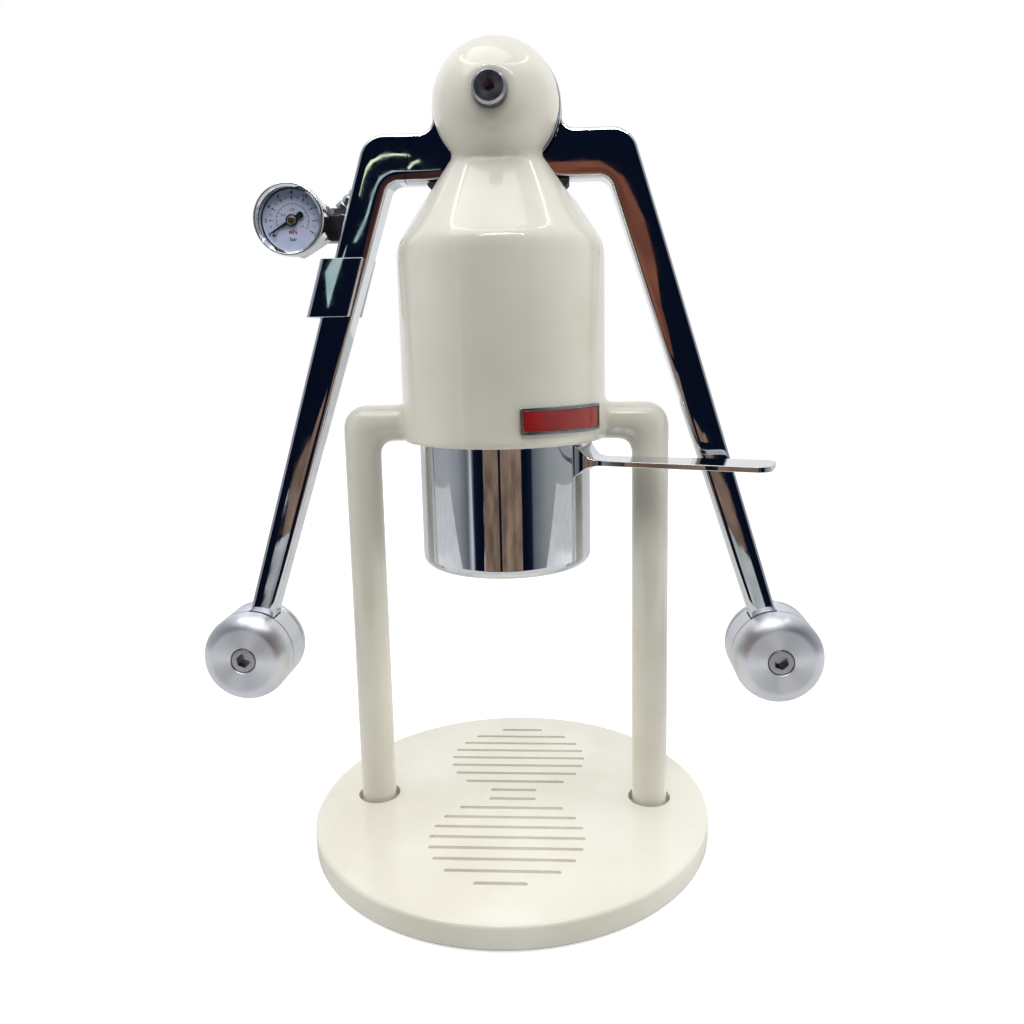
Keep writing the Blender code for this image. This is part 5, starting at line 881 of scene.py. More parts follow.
def makeStrap():
    # Rounded sections follow each other from the curved saddle out to the flat strap
    part = strap
    middle = part["top"] - part["thickness"] / 2
    rise = middle - part["saddleMiddle"]
    sections = [(part["saddleStart"] + out, part["saddleWidth"] * wide, 2 * part["saddleHalf"] * tall,
                 part["saddleMiddle"] + rise * min(1, out / 4)) for out, wide, tall in part["flare"]]
    sections.append((part["reach"] - part["tipCorner"], part["tip"], part["thickness"], middle))
    for corner in (15, 30, 45, 60, 75, 90):
        turn = math.radians(corner)
        sections.append((part["reach"] - part["tipCorner"] * (1 - math.sin(turn)),
                         part["tip"] - 2 * part["tipCorner"] * (1 - math.cos(turn)), part["thickness"], middle))
    bm = bmesh.new()
    soft = 0.4  # share of the unit section that its rounded corners take
    outline = rounded([(1, 1, soft), (-1, 1, soft), (-1, -1, soft), (1, -1, soft)], closed=True, steps=4)
    ring = [bm.verts.new((0, sideways, up)) for sideways, up in outline]
    bm.faces.new(ring)
    edges = list({edge for vertex in ring for edge in vertex.link_edges})
    unit = {vertex: place for vertex, place in zip(ring, outline)}
    for index, (out, wide, tall, height) in enumerate(sections):
        if index:
            before = {tuple(vertex.co): place for vertex, place in unit.items()}
            grown = bmesh.ops.extrude_edge_only(bm, edges=edges)["geom"]
            edges = [item for item in grown if isinstance(item, bmesh.types.BMEdge)]
            unit = {item: before[tuple(item.co)] for item in grown if isinstance(item, bmesh.types.BMVert)}
        corner = min(part["edge"], tall / 8)

        def stretched(unitPlace, size):
            # Keeps the rounded corners small however wide or tall the section is
            pull = abs(unitPlace)
            if pull > 1 - soft:
                return math.copysign(size / 2 - (1 - pull) / soft * corner, unitPlace)
            return math.copysign(pull / (1 - soft) * (size / 2 - corner), unitPlace)

        for vertex, (sideways, upward) in unit.items():
            y = stretched(sideways, wide)
            bend = math.sqrt(max(0, out ** 2 - y ** 2)) - out if index < part["bentSections"] else 0
            vertex.co = (out + bend, y, height + stretched(upward, tall))
    bmesh.ops.contextual_create(bm, geom=edges)
    bmesh.ops.recalc_face_normals(bm, faces=bm.faces)
    placed(bm, Matrix.Rotation(math.radians(part["angle"]), 4, "Z"))
    addPiece("portafilterHandle", bm, finishes["polished_chrome"], "portafilter", "portafilter_handle", sharp=40)


makeCup()
makeStrap()
print("portafilter made")

# Gauge: rolled bezel, glass, enamelled dial with printed scales, counterweighted needle
gauge = {"reach": 79, "height": 246, "bezel": 13.6, "opening": 11.9, "front": 9.6, "depth": 5.6, "skirt": 13.1,
         "lip": 1.2, "glass": 12.7, "glassTop": 8.1, "glassThick": 1, "case": 12.8, "caseFront": 6.8,
         "caseRear": -2.0, "caseWall": 0.8, "floor": -0.4, "ledge": 2.9, "dialFace": 3.9, "dial": 11.7,
         "dialThick": 0.7, "dialHole": 0.9, "ink": 0.02, "zero": 208.7, "sweep": 240, "full": 16,
         "adapter": 13.0, "adapterFront": -2.3, "adapterBack": -8.65, "chamfer": 1.1, "spigot": 4,
         "spigotEnd": -12.95}
gaugeSpot = (-gauge["reach"], 0, gauge["height"])


def atGauge(bm, *steps):
    return placed(bm, *steps, toFront, shift(*gaugeSpot))


def scaleAngle(pressure):
    return math.radians(gauge["zero"] - gauge["sweep"] * pressure / gauge["full"])


def lettering(words, size, along, up, bold=0.0):
    curve = bpy.data.curves.new("words", "FONT")
    curve.body = words
    curve.size = size
    curve.offset = bold
    curve.align_x = "CENTER"
    curve.align_y = "CENTER"
    curve.resolution_u = 3
    made = bpy.data.objects.new("words", curve)
    bpy.context.scene.collection.objects.link(made)
    return placed(evaluated(made), shift(along, up, gauge["dialFace"] + gauge["ink"]))


def inkBar(inner, outer, width, angle):
    bm = bmesh.new()
    bmesh.ops.create_grid(bm, x_segments=1, y_segments=1, size=0.5)
    return placed(bm, Matrix.Diagonal((outer - inner, width, 1, 1)),
                  shift((inner + outer) / 2, 0, gauge["dialFace"] + gauge["ink"]), Matrix.Rotation(angle, 4, "Z"))


def inkArc(radius, width, first, last, steps=72):
    # A short radial edge spun along the scale
    bm = bmesh.new()
    ends = [bm.verts.new((reach, 0, gauge["dialFace"] + gauge["ink"]))
            for reach in (radius - width / 2, radius + width / 2)]
    edge = bm.edges.new(ends)
    placed(bm, Matrix.Rotation(first, 4, "Z"))
    bmesh.ops.spin(bm, geom=ends + [edge], cent=(0, 0, 0), axis=(0, 0, 1), angle=last - first, steps=steps)
    return bm


# Printing on the dial: bar in black outside, a tenth of it as MPa in red inside
dialPrint = {"scale": 9.1, "tick": 0.26, "longTick": 1.6, "shortTick": 0.8, "block": 0.6, "blockLength": 0.5,
             "figure": 1.9, "figureOut": 1.25, "innerScale": 6.3, "innerArc": 0.2, "innerTick": 0.16,
             "innerLong": 1.1, "innerShort": 0.7, "innerFigure": 1.3, "innerFigureIn": 2.2, "bold": 0.04}


def makeDialPrint():
    part = dialPrint
    black, red = [], []
    reach, rim = part["scale"], part["innerScale"]
    numberAt, redAt = reach + part["figureOut"], rim - part["innerFigureIn"]
    for pressure in range(gauge["full"] + 1):
        angle = scaleAngle(pressure)
        even = pressure % 2 == 0
        black.append(inkBar(reach - (part["longTick"] if even else part["shortTick"]), reach, part["tick"], angle))
        if even:
            black.append(inkBar(reach - part["blockLength"], reach, part["block"], angle))
            black.append(lettering(str(pressure), part["figure"], numberAt * math.cos(angle),
                                   numberAt * math.sin(angle), part["bold"]))
    red.append(inkArc(rim, part["innerArc"], scaleAngle(gauge["full"]), scaleAngle(0)))
    for pressure in range(gauge["full"] + 1):
        angle = scaleAngle(pressure)
        length = part["innerLong"] if pressure % 4 == 0 else part["innerShort"]
        red.append(inkBar(rim - length, rim, part["innerTick"], angle))
    for pressure in range(0, gauge["full"] + 1, 4):
        angle = scaleAngle(pressure)
        red.append(lettering(f"{pressure / 10:g}", part["innerFigure"], redAt * math.cos(angle),
                             redAt * math.sin(angle), 0.03))
    red.append(lettering("MPa", 1.9, 0, -4.3, 0.05))
    black.append(lettering("bar", 2.0, 0, -6.9, part["bold"]))
    for name, marks, ink in (("dialScale", black, printBlack), ("dialInnerScale", red, printRed)):
        bm = joined(*marks)
        for face in bm.faces:
            if face.normal.z < 0:
                face.normal_flip()
        addPiece(name, atGauge(bm), ink, "left_lever", steady=False)


def makeGauge():
    part = gauge

    def addTurned(name, profile, finish, node, steps, ring=False):
        return addPiece(name, atGauge(turned(profile, steps, ring)), finishes[finish], "left_lever", node)

    front, opening = part["front"], part["opening"]
    back, under = front - part["depth"], front - part["lip"]
    bezel = rounded([(opening + 0.9, front, 0.35), (part["bezel"], front - 0.15, 0.7), (part["bezel"], back, 0.25),
                     (part["skirt"], back, 0), (part["skirt"], under, 0.1), (opening, under, 0.05),
                     (opening, under + 0.25, 0.05)], closed=True, steps=6)
    addTurned("gaugeBezel", bezel, "polished_chrome", "gauge_bezel", 128, True)
    top, rear = part["glassTop"], part["glassTop"] - part["glassThick"]
    glass = rounded([(0, top, 0), (part["glass"], top, 0.15), (part["glass"], rear, 0.15), (0, rear, 0)], steps=3)
    pane = addTurned("gaugeGlass", glass, "gauge_glass", "gauge_glass", 96)
    pane.visible_shadow = False  # clear glass leaves the dial lit
    inner = part["case"] - part["caseWall"]
    case = rounded([(0, part["floor"], 0), (inner - 1, part["floor"], 0.4), (inner - 1, part["ledge"], 0),
                    (inner, part["ledge"], 0), (inner, part["caseFront"], 0.1),
                    (part["case"], part["caseFront"], 0.1), (part["case"], part["caseRear"], 1.3),
                    (0, part["caseRear"], 0)], steps=6)
    addTurned("gaugeCase", case, "polished_chrome", "gauge_case", 128)
    face, underside = part["dialFace"], part["dialFace"] - part["dialThick"]
    dial = rounded([(part["dialHole"], face, 0), (part["dial"], face, 0.08), (part["dial"], underside, 0.08),
                    (part["dialHole"], underside, 0)], closed=True, steps=2)
    addTurned("gaugeDial", dial, "dial_white", "gauge_dial", 96, True)


needle = {"length": 9.8, "pointHalf": 0.16, "waist": 2.3, "tailReach": 3.6, "tailRadius": 1.5, "height": 5.0,
          "half": 0.2, "hub": 1.5, "hubTop": 5.8, "hubRear": 4.2, "pin": 0.6, "pinEnd": -0.1}


def makeNeedle():
    part = needle
    length, point, waist = part["length"], part["pointHalf"], part["waist"]
    outline = [(length, point)] + arcPoints((0, 0), waist, 17, 160, 12)
    outline += arcPoints((-part["tailReach"], 0), part["tailRadius"], 118, 242, 10)
    outline += arcPoints((0, 0), waist, 200, 343, 12) + [(length, -point)]
    blade = plate(outline, part["height"] - part["half"], part["height"] + part["half"])
    blade = combined(blade, [rod(part["hub"] + 0.3, 0, 9)])
    atGauge(bevelled(blade, 0.06, 2, 60), Matrix.Rotation(math.radians(gauge["zero"]), 4, "Z"))
    addPiece("gaugeNeedle", blade, finishes["needle_black"], "needle", "gauge_needle")
    boss = rounded([(0, part["hubTop"], 0), (part["hub"], part["hubTop"], 0.3),
                    (part["hub"], part["hubRear"], 0.1), (part["pin"], part["hubRear"], 0),
                    (part["pin"], part["pinEnd"], 0), (0, part["pinEnd"], 0)], steps=4)
    addPiece("needleBoss", atGauge(turned(boss, 48)), finishes["brass"], "needle", "needle_hub")


def makeAdapter():
    # A hexagon bar turned down at its corners, with a round spigot into the block
    part = gauge
    low, high, chamfer = part["adapterBack"], part["adapterFront"], part["chamfer"]
    flat, wide = part["adapter"] - 1.2, part["adapter"] + 0.6
    cone = rounded([(0, high, 0), (flat, high, 0), (wide, high - chamfer, 0), (wide, low + chamfer, 0),
                    (flat, low, 0), (0, low, 0)])
    nut = combined(rod(part["adapter"], low, high, 6), [turned(cone, 96)], "INTERSECT")
    nut = combined(nut, [rod(part["spigot"], part["spigotEnd"], low + 1)], "UNION")
    addPiece("gaugeAdapter", atGauge(bevelled(nut, 0.12, 2, 25)), finishes["stainless"], "left_lever",
             "gauge_adapter", sharp=25)


makeGauge()
makeDialPrint()
makeNeedle()
makeAdapter()
print("gauge made")

# Clip, manifold block and hose elbow: bent strip, milled block, crimped ferrule
clip = {"face": 8.65, "wall": 1.8, "offset": 4.9, "front": 16.8, "rear": 17.9, "stripInset": 2.2, "drop": 52.7,
        "height": 21.8, "edge": 0.45, "strip": 12, "stripTop": 34.4, "overlap": 8, "inset": 0.15, "hole": 1.8,
        "bend": 1.0}
block = {"left": 86, "width": 33, "front": 8.95, "depth": 8, "top": 249.6, "height": 10.1, "screwHole": 1.6,
         "spigotRoom": 4.3, "spigotDeep": 13.25, "edge": 0.55}
elbow = {"reach": 66.6, "depth": 12.95, "foot": 3.0, "seat": 249.9, "footHeight": 2.6, "radius": 2.6,
         "length": 12, "rise": 42, "shift": 1.6, "lift": 2.0,
         # The ferrule from its end: share of its length, how deep it is crimped there, and the rounding
         "crimps": ((1, 0.4, 0.3), (0.9, 0.4, 0), (0.86, 0, 0.2), (0.66, 0, 0.2), (0.62, 0.4, 0.1),
                    (0.54, 0.4, 0.1), (0.5, 0, 0.2), (0.36, 0, 0.2), (0.32, 0.4, 0.1), (0.26, 0.4, 0.1),
                    (0.22, 0, 0.2))}


def outerLean():
    start = (arm["elbow"], -arm["rootDrop"])
    touch = tangentPoint(start, (arm["knobReach"], -arm["knobDrop"]), arm["endWidth"] / 2, 1)
    return (touch[0] - start[0]) / (start[1] - touch[1])


def armEdge(drop):
    return arm["elbow"] + (drop - arm["rootDrop"]) * outerLean()


def leaning(bm, drop):
    lean = Matrix.Identity(4)
    lean[0][2] = outerLean()
    return placed(bm, lean, shift(-armEdge(drop), 0, axleHeight - drop))


def makeClip():
    part = clip
    face, wall = part["face"], part["wall"]
    left, bend = -part["offset"], part["bend"]
    inside = face - wall
    channel = rounded([(left, -face, bend + wall * 0.6), (left + part["front"], -face, 0.9),
                       (left + part["front"], -inside, 0.3), (left + wall, -inside, bend),
                       (left + wall, inside, bend),
                       (left + part["rear"], inside, 0.2), (left + part["rear"], face, 0.2),
                       (left, face, bend + wall * 0.6)], closed=True, steps=6)
    shape = leaning(bevelled(plate(channel, -part["height"], 0), part["edge"], 4, 60), part["drop"])
    end = left + part["rear"] - part["stripInset"]
    tongue = box((end - part["strip"], inside + part["inset"], part["stripTop"] - part["drop"] - part["overlap"]),
                 (end, face - part["inset"], 0))
    shape = combined(shape, [leaning(bevelled(tongue, 0.3, 2), part["stripTop"])], "UNION")
    screwDrop = part["drop"] + part["height"] / 2
    screwX = arm["endWidth"] / 2 - armEdge(screwDrop)
    blockDrop = part["stripTop"] + block["height"] / 2
    blockX = end - part["strip"] / 2 - armEdge(blockDrop)
    shape = combined(shape, [across(part["hole"], -face - 3, -inside + 0.3, screwX, axleHeight - screwDrop),
                             across(block["screwHole"], -face - 3, -inside + 1, blockX, axleHeight - blockDrop)])
    addPiece("gaugeClip", shape, finishes["polished_chrome"], "left_lever", "gauge_clip", sharp=32)
    back = block["front"] + block["depth"]
    milled = box((-block["left"], block["front"], block["top"] - block["height"]),
                 (block["width"] - block["left"], back, block["top"]))
    bevelled(milled, block["edge"], 2)
    milled = combined(milled, [across(block["spigotRoom"], -block["spigotDeep"], 0, -gauge["reach"],
                                      gauge["height"]),
                               across(block["screwHole"], -back - 2, 0, blockX, axleHeight - blockDrop)])
    addPiece("manifoldBlock", milled, finishes["black_anodised"], "left_lever", "manifold_block", sharp=25)


def makeElbow():
    part = elbow
    foot = rod(part["foot"], part["seat"], part["seat"] + part["footHeight"], 6)
    foot = placed(foot, shift(-part["reach"], part["depth"], 0))
    profile = [(0, part["length"], 0)]
    profile += [(part["radius"] - sink, part["length"] * share, soft) for share, sink, soft in part["crimps"]]
    profile = rounded(profile + [(part["radius"], 0, 0.5), (0, 0, 0)], steps=4)
    ferrule = placed(turned(profile, 48), Matrix.Rotation(math.pi / 2 - math.radians(part["rise"]), 4, "Y"),
                     shift(part["shift"] - part["reach"], part["depth"], part["seat"] + part["lift"]))
    shape = combined(bevelled(foot, 0.2, 2), [ferrule], "UNION")
    addPiece("hoseElbow", shape, finishes["stainless"], "left_lever", "hose_elbow", sharp=28)


makeClip()
makeElbow()
print("clip and block made")

# Badge: a bent, stamped frame round a plain enamel field
badge = {"radius": 39.8, "thickness": 0.9, "start": -77.6, "end": -24.5, "bottom": 166.2, "height": 9.8,
         "border": 1.0, "gap": 0.3, "sink": 0.3, "corner": 1.0, "bends": 20}


def bent(bm, radius):
    # Wraps a flat shape round the body: x runs round the cylinder and z out from it
    for vertex in bm.verts:
        reach = radius + vertex.co.z
        angle = vertex.co.x / radius
        vertex.co = (reach * math.cos(angle), reach * math.sin(angle), vertex.co.y)
    bmesh.ops.recalc_face_normals(bm, faces=bm.faces)
    return bm


def label(width, height, low, high, corner, bevelWidth):
    outline = rounded([(-width / 2, -height / 2, corner), (width / 2, -height / 2, corner),
                       (width / 2, height / 2, corner), (-width / 2, height / 2, corner)], closed=True, steps=5)
    bm = bevelled(plate(outline, low, high), bevelWidth, 3, 60)
    for index in range(1, badge["bends"]):
        bmesh.ops.bisect_plane(bm, geom=bm.verts[:] + bm.edges[:] + bm.faces[:], dist=0.0005,
                               plane_co=(width * (index / badge["bends"] - 0.5), 0, 0), plane_no=(1, 0, 0))
    return bm


def makeBadge():
    part = badge
    width = part["radius"] * math.radians(part["end"] - part["start"])
    middle = (part["start"] + part["end"]) / 2
    place = (Matrix.Rotation(math.radians(middle), 4, "Z"), shift(0, 0, part["bottom"] + part["height"] / 2))
    whole = label(width, part["height"], 0, part["thickness"], part["corner"], 0.25)
    clearWidth, clearHeight = width - 2 * part["border"], part["height"] - 2 * part["border"]
    window = label(clearWidth, clearHeight, -1, 2, 0.4, 0.01)
    ring = combined(whole, [window])
    addPiece("badgeFrame", placed(bent(ring, part["radius"]), *place), finishes["badge_silver"], "frame",
             "badge_frame")
    inner = label(clearWidth - 2 * part["gap"], clearHeight - 2 * part["gap"], 0,
                  part["thickness"] - part["sink"], 0.3, 0.12)
    addPiece("badgeField", placed(bent(inner, part["radius"]), *place), finishes["badge_red"], "frame",
             "badge_field")


makeBadge()

# Axle: turned pin with a chamfered, socketed cap in front and its nut behind
axle = {"radius": 5, "cap": 5.95, "seat": 28.9, "face": 33.5, "chamfer": 0.9, "key": 2.1, "keyDepth": 3,
        "rear": -28.6, "thread": 3.9, "end": -31.5, "rimRadius": 2.5, "gap": 0.3}


def makeAxle():
    part = axle
    face, flat = part["face"], part["cap"] - part["chamfer"]
    pin = rounded([(0, face, 0), (flat, face, 0.15), (part["cap"], face - part["chamfer"], 0.15),
                   (part["cap"], part["seat"], 0), (part["radius"], part["seat"], 0),
                   (part["radius"], part["rear"], 0), (part["thread"], part["rear"], 0),
                   (part["thread"], part["end"], 0), (0, part["end"], 0)], steps=4)
    pin = placed(turned(pin, 96), toFront, shift(0, 0, axleHeight))
    key = hexSocket(part["key"], part["keyDepth"], face, 0, axleHeight)
    rim = across(part["rimRadius"], face - 0.25, face + 2, 0, axleHeight)
    addPiece("axlePin", combined(pin, [key, rim]), finishes["steel"], "frame", "axle", sharp=25)
    bore, blind = part["thread"] + part["gap"], part["end"] - part["gap"]
    nut = rounded([(0, blind, 0), (bore, blind, 0), (bore, -part["seat"], 0), (part["cap"], -part["seat"], 0),
                   (part["cap"], part["chamfer"] - face, 0.15), (flat, -face, 0.15), (0, -face, 0)], steps=4)
    nut = placed(turned(nut, 96), toFront, shift(0, 0, axleHeight))
    addPiece("axleNut", combined(nut, [across(part["key"], -face - 2, -face + 1.5, 0, axleHeight, 6)]),
             finishes["steel"], "frame", "axle_nut", sharp=25)


makeAxle()

# Arm stops: moulded blocks on the slot's floor, cut back where the neck slopes away
stop = {"near": 20, "far": 26.5, "foot": 22.0, "slope": 4.8, "low": 252.3, "top": 258.3, "half": 5.9,
        "edge": 0.5}


def makeStop(name, side):
    part = stop
    outline = [(part["near"], part["low"]), (part["foot"], part["low"]),
               (part["far"], part["low"] + part["slope"]), (part["far"], part["top"]),
               (part["near"], part["top"])]
    bm = plate([(side * along, up) for along, up in outline], -part["half"], part["half"])
    addPiece(name + "ArmStop", placed(bevelled(bm, part["edge"], 3), toFront), finishes["rubber"], "frame",
             name + "_arm_stop")


makeStop("left", -1)
makeStop("right", 1)
print("badge, axle and stops made")

# The remaining CAD pieces keep their shapes and take the finish of their slot
for subpart in frame["record"]["subparts"]:
    node = frame["nodes"].get(subpart["node"])
    if node:
        node.data.materials.clear()
        node.data.materials.append(finishes[subpart["material_slot"]])

# Stage: pale floor that ends in front, white sweep behind, dark room before the object
stage = {"half": 900, "front": -260, "back": 1400, "white": "#d6d6d4", "floor": "#c9c8c6", "patch": 60,
         "glow": 0.68}


def makeFloor():
    finish, tree, shader = newFinish("paperPaleMatt")
    place = addNode(tree, "TexCoord").outputs["Object"]
    grain = addNode(tree, "TexNoise", {"Scale": perMetre(stage["patch"]), "Detail": 2.0}, Vector=place)
    tone = setRamp(addNode(tree, "ValToRGB", Fac=grain.outputs["Fac"]), (0.3, stage["floor"]),
                   (0.7, stage["white"]))
    tree.links.new(tone.outputs["Color"], shader.inputs["Base Color"])
    shader.inputs["Roughness"].default_value = 0.9
    path = addNode(tree, "LightPath")  # the floor shows white to the camera and keeps the shadow
    shown = addNode(tree, "Math", {"_operation": "MULTIPLY", "1": stage["glow"]}, n0=path.outputs["Is Camera Ray"])
    glow = addNode(tree, "Emission", {"Color": hexColour("#ffffff")}, Strength=shown.outputs["Value"])
    both = addNode(tree, "AddShader", n0=shader.outputs["BSDF"], n1=glow.outputs["Emission"])
    output = next(node for node in tree.nodes if node.bl_idname == "ShaderNodeOutputMaterial")
    tree.links.new(both.outputs["Shader"], output.inputs["Surface"])
    bm = bmesh.new()
    bmesh.ops.create_grid(bm, x_segments=1, y_segments=1, size=1)
    deep = (stage["back"] - stage["front"]) / 2
    placed(bm, Matrix.Diagonal((stage["half"], deep, 1, 1)), shift(0, stage["front"] + deep, 0),
           Matrix.Scale(0.001, 4))
    mesh = bpy.data.meshes.new("floor")
    bm.to_mesh(mesh)
    bm.free()
    mesh.materials.append(finish)
    floor = bpy.data.objects.new("floor", mesh)
    bpy.context.scene.collection.objects.link(floor)


# Studio cards by outline, across and up, seen only in the polished metal: brown columns and warm cards near the
# object, and brown and pale ones far in front for the arms' lower halves
brown, warmBrown = "#937b6a", "#8c7565"
cards = {
    "leftColumnCard": {"outline": ((-67, 40), (-12, 40), (-12, 170), (-67, 170)),
                       "depth": -165, "colour": brown, "strength": 0.95, "patch": 22},
    "rightColumnCard": {"outline": ((-4, 40), (70, 40), (70, 170), (-4, 170)),
                        "depth": -165, "colour": brown, "strength": 0.95, "patch": 22},
    "leftWarmCard": {"outline": ((-74, 195), (-12, 195), (-20, 283), (-60, 283), (-69, 277), (-73.5, 264),
                                 (-78, 235)),
                     "depth": -165, "colour": "#4a302d", "strength": 0.75, "patch": 45},
    "rightWarmCard": {"outline": ((-4, 180), (70, 180), (76, 200), (72, 235), (66, 262), (55, 286), (42, 295),
                                  (-4, 295)),
                      "depth": -165, "colour": "#8b5644", "strength": 0.95, "patch": 45},
    "paleStreakCard": {"outline": ((-45, 290), (-45, 291.5), (-72, 293), (-79, 290), (-83.5, 281), (-86.5, 270),
                                   (-89.5, 263), (-95, 252), (-93, 252), (-87.5, 263), (-85, 270), (-82, 281),
                                   (-77, 287.5), (-70, 291)),
                       "depth": -164, "colour": "#cfeeea", "strength": 0.85, "patch": 30},
    "paleWedgeCard": {"outline": ((-112, 240), (-107, 247), (-99, 251), (-104, 238), (-111, 219)),
                      "depth": -164, "colour": "#cfeeea", "strength": 0.85, "patch": 30},
    "tubeCard": {"path": ((-91.5, 279.6), (-89.3, 287.2), (-86.8, 293.1), (-82.9, 298.1), (-77.4, 300.9),
                          (-71.1, 301.7), (-65.2, 301.5), (-62.3, 300.9)),
                 "depth": -163, "colour": "#f2ffd8", "strength": 1.4, "patch": 70},
    "shortTubeCard": {"path": ((-63.4, 293.9), (-60.6, 296.9), (-57.1, 298.1)),
                      "depth": -163, "colour": "#f2ffd8", "strength": 1.2, "patch": 70},
    "rightBrownCard": {"outline": ((118, 56), (144, -36), (170, -87), (230, -96), (250, -105), (245, -83),
                                   (226, -17), (203, 23), (191, 56)),
                       "depth": -800, "colour": warmBrown, "strength": 0.9, "patch": 60},
    "leftBrownCard": {"outline": ((-238, 103), (-238, 76), (-271, -5), (-292, -58), (-306, -88), (-372, -85),
                                  (-370, -69), (-361, -21), (-350, 9), (-327, 50)),
                      "depth": -800, "colour": warmBrown, "strength": 0.9, "patch": 60},
    "rightPaleCard": {"outline": ((170, -88), (242, -100), (262, -121), (273, -138), (287, -162), (297, -181),
                                  (285, -205), (222, -205), (188, -154)),
                      "depth": -800, "colour": "#b8bbbb", "strength": 1.0, "patch": 60},
    "leftPaleCard": {"outline": ((-365, -81), (-374, -85), (-384, -96), (-389, -112), (-391, -132), (-402, -156),
                                 (-401, -167), (-415, -195), (-380, -215), (-322, -153), (-306, -92)),
                     "depth": -800, "colour": "#b4b7b9", "strength": 0.95, "patch": 60},
    "leftSliverCard": {"outline": ((-362, -13), (-366, -31), (-377, -55), (-374, -42), (-368, -22)),
                       "depth": -800, "colour": "#d8dde4", "strength": 1.0, "patch": 60},
}
tubeFall = 1.05  # a tube card is a band as wide as this, slanted
lampRing = {"radius": 560, "width": 26, "height": 1084, "reach": 115, "strength": 9}


def addCard(name, bm, code, strength, patch):
    finish = bpy.data.materials.new(name)
    finish.use_nodes = True
    tree = finish.node_tree
    tree.nodes.clear()
    place = addNode(tree, "TexCoord").outputs["Object"]
    cloud = addNode(tree, "TexNoise", {"Scale": perMetre(patch), "Detail": 2.0}, Vector=place)
    level = addNode(tree, "MapRange", {"From Min": 0.3, "From Max": 0.7, "To Min": 0.55 * strength,
                                       "To Max": 1.35 * strength}, Value=cloud.outputs["Fac"])
    glow = addNode(tree, "Emission", {"Color": hexColour(code)}, Strength=level.outputs["Result"])
    addNode(tree, "OutputMaterial", Surface=glow.outputs["Emission"])
    placed(bm, Matrix.Scale(0.001, 4))
    mesh = bpy.data.meshes.new(name)
    bm.to_mesh(mesh)
    bm.free()
    mesh.materials.append(finish)
    card = bpy.data.objects.new(name, mesh)
    bpy.context.scene.collection.objects.link(card)
    for ray in ("camera", "diffuse", "shadow", "transmission"):
        setattr(card, "visible_" + ray, False)


def flatCard(outline, depth):
    bm = bmesh.new()
    bm.faces.new([bm.verts.new((along, depth, up)) for along, up in outline])
    return bm


def tubeCard(path, depth):
    bm = bmesh.new()
    points = [bm.verts.new((along, depth, up)) for along, up in path]
    edges = [bm.edges.new(pair) for pair in zip(points, points[1:])]
    grown = bmesh.ops.extrude_edge_only(bm, edges=edges)["geom"]
    moved = [item for item in grown if isinstance(item, bmesh.types.BMVert)]
    bmesh.ops.translate(bm, vec=(tubeFall, 0, -tubeFall), verts=moved)
    return bm


def makeCards():
    for name, card in cards.items():
        bm = (flatCard(card["outline"], card["depth"]) if "outline" in card
              else tubeCard(card["path"], card["depth"]))
        addCard(name, bm, card["colour"], card["strength"], card["patch"])
    part = lampRing
    ring = bmesh.new()
    ends = [ring.verts.new((reach, 0, part["height"]))
            for reach in (part["radius"], part["radius"] + part["width"])]
    edge = ring.edges.new(ends)
    placed(ring, Matrix.Rotation(math.radians(-90 - part["reach"]), 4, "Z"))
    bmesh.ops.spin(ring, geom=ends + [edge], cent=(0, 0, 0), axis=(0, 0, 1),
                   angle=math.radians(2 * part["reach"]), steps=72)
    addCard("lampRing", ring, "#ffffff", part["strength"], 60)


# The room by compass bearing from straight in front: dark there, pale at its sides, white behind and above.
# Matt surfaces see the second list, so that the enamel is lit evenly
room = {"seen": ((-180, "#ffffff"), (-120, "#f4f6f8"), (-105, "#b4b8ba"), (-80, "#b3b8b9"), (-62, "#9ea3a6"),
                 (-48, "#6b6f76"), (-42, "#e8ecf2"), (-39, "#121b2e"), (-30, "#0a1122"), (0, "#0c1426"),
                 (30, "#0a1122"), (38, "#141e33"), (41, "#6b6f74"), (62, "#9fa3a4"), (85, "#b3b7b7"),
                 (105, "#b9bdbe"), (120, "#f4f6f8"), (180, "#ffffff")),
        "lighting": ((-180, "#ffffff"), (-70, "#ffffff"), (-48, "#6b6f76"), (-36, "#0b1019"), (36, "#0b1019"),
                     (46, "#6b6f74"), (66, "#ffffff"), (180, "#ffffff")),
        "ceiling": "#eef1f4", "ceilingFrom": 0.56, "ceilingTo": 0.74, "seenLevel": 0.9, "lightLevel": 1.2}


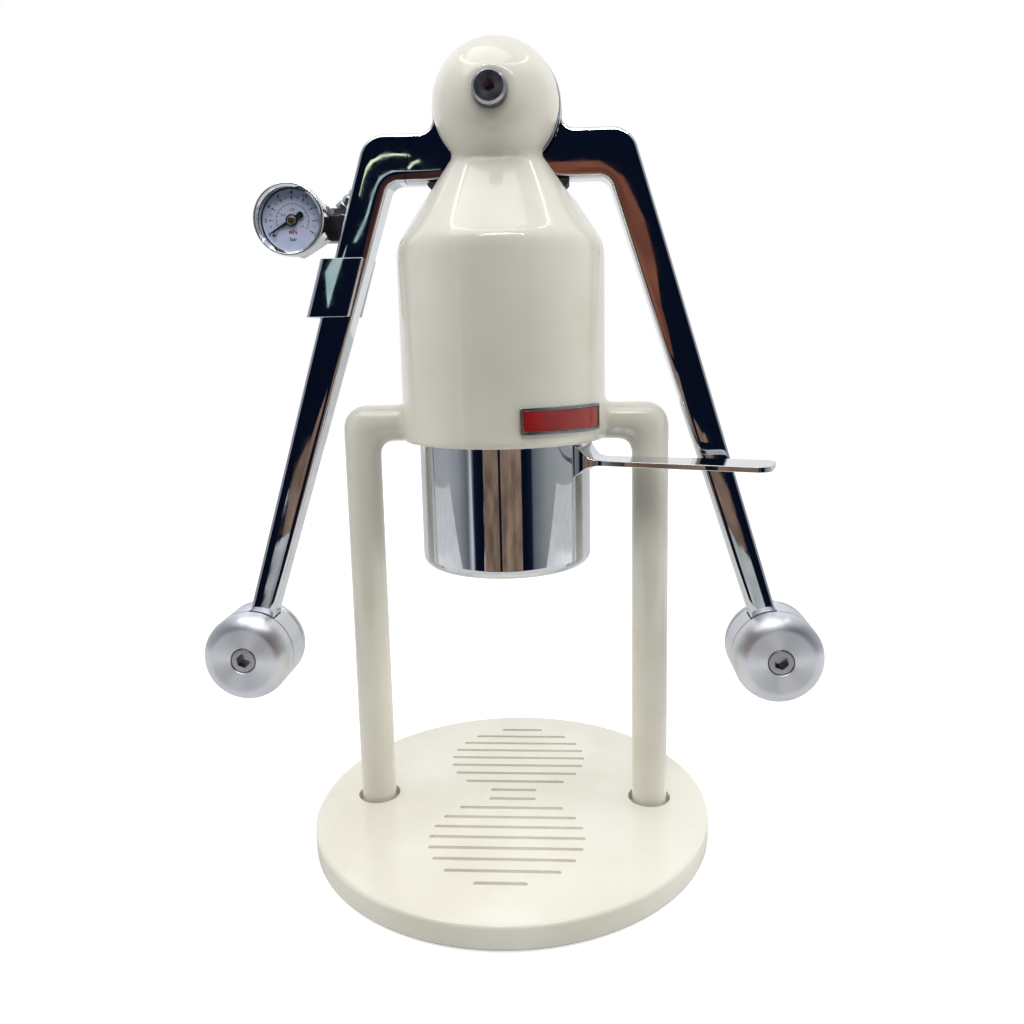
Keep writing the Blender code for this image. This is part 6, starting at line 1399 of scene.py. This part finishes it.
def makeRoom():
    world = bpy.data.worlds.new("studioRoom")
    bpy.context.scene.world = world
    world.use_nodes = True
    tree = world.node_tree
    tree.nodes.clear()
    way = addNode(tree, "TexCoord").outputs["Generated"]
    turnedWay = addNode(tree, "Mapping", {"Rotation": (0, 0, math.radians(90))}, Vector=way)
    compass = addNode(tree, "TexGradient", {"_gradient_type": "RADIAL"}, Vector=turnedWay.outputs["Vector"])
    around, fill = (setRamp(addNode(tree, "ValToRGB", Fac=compass.outputs["Fac"]),
                            *((0.5 + degrees / 360, code) for degrees, code in room[use]))
                    for use in ("seen", "lighting"))
    path = addNode(tree, "LightPath")
    sides = addNode(tree, "Mix", {"_data_type": "RGBA"}, n0=path.outputs["Is Diffuse Ray"],
                    n6=around.outputs["Color"], n7=fill.outputs["Color"])
    height = addNode(tree, "SeparateXYZ", Vector=way)
    over = addNode(tree, "MapRange", {"_interpolation_type": "SMOOTHSTEP", "From Min": room["ceilingFrom"],
                                      "From Max": room["ceilingTo"]}, Value=height.outputs["Z"])
    ceiling = addNode(tree, "Mix", {"_data_type": "RGBA", "7": hexColour(room["ceiling"])},
                      n0=over.outputs["Result"], n6=sides.outputs[2])
    level = addNode(tree, "MapRange", {"To Min": room["seenLevel"], "To Max": room["lightLevel"]},
                    Value=path.outputs["Is Diffuse Ray"])
    lit = addNode(tree, "Background", Color=ceiling.outputs[2], Strength=level.outputs["Result"])
    plain = addNode(tree, "Background", {"Color": hexColour("#ffffff"), "Strength": 1.0})
    chosen = addNode(tree, "MixShader", n0=path.outputs["Is Camera Ray"], n1=lit.outputs["Background"],
                     n2=plain.outputs["Background"])
    addNode(tree, "OutputWorld", Surface=chosen.outputs["Shader"])


# Lamps: place, aim, width and depth, and power in watts; the side boxes stay out of the mirrors
lamps = {"topBox": {"place": (-150, -250, 900), "aim": (0, 0, 150), "size": (700, 700), "power": 2.2,
                    "mirrored": True},
         "rightBox": {"place": (520, 20, 180), "aim": (0, 0, 200), "size": (300, 300), "power": 0.5,
                      "mirrored": False},
         "leftBox": {"place": (-520, 20, 180), "aim": (0, 0, 200), "size": (300, 300), "power": 0.25,
                     "mirrored": False},
         "frontStrip": {"place": (60, -420, 620), "aim": (0, 0, 220), "size": (420, 14), "power": 0.6,
                        "mirrored": True}}


def makeLamps():
    for name, part in lamps.items():
        lamp = bpy.data.lights.new(name, "AREA")
        lamp.shape = "RECTANGLE"
        lamp.size, lamp.size_y = (side / 1000 for side in part["size"])
        lamp.energy = part["power"]
        made = bpy.data.objects.new(name, lamp)
        heading = Vector(part["aim"]) - Vector(part["place"])
        away = heading.to_track_quat("-Z", "Y").to_matrix().to_4x4()
        made.matrix_world = Matrix.Translation(Vector(part["place"]) / 1000) @ away
        made.visible_glossy = part["mirrored"]
        bpy.context.scene.collection.objects.link(made)


makeFloor()
makeRoom()
makeCards()
makeLamps()
bpy.context.scene.view_settings.view_transform = "Standard"
print("stage made")
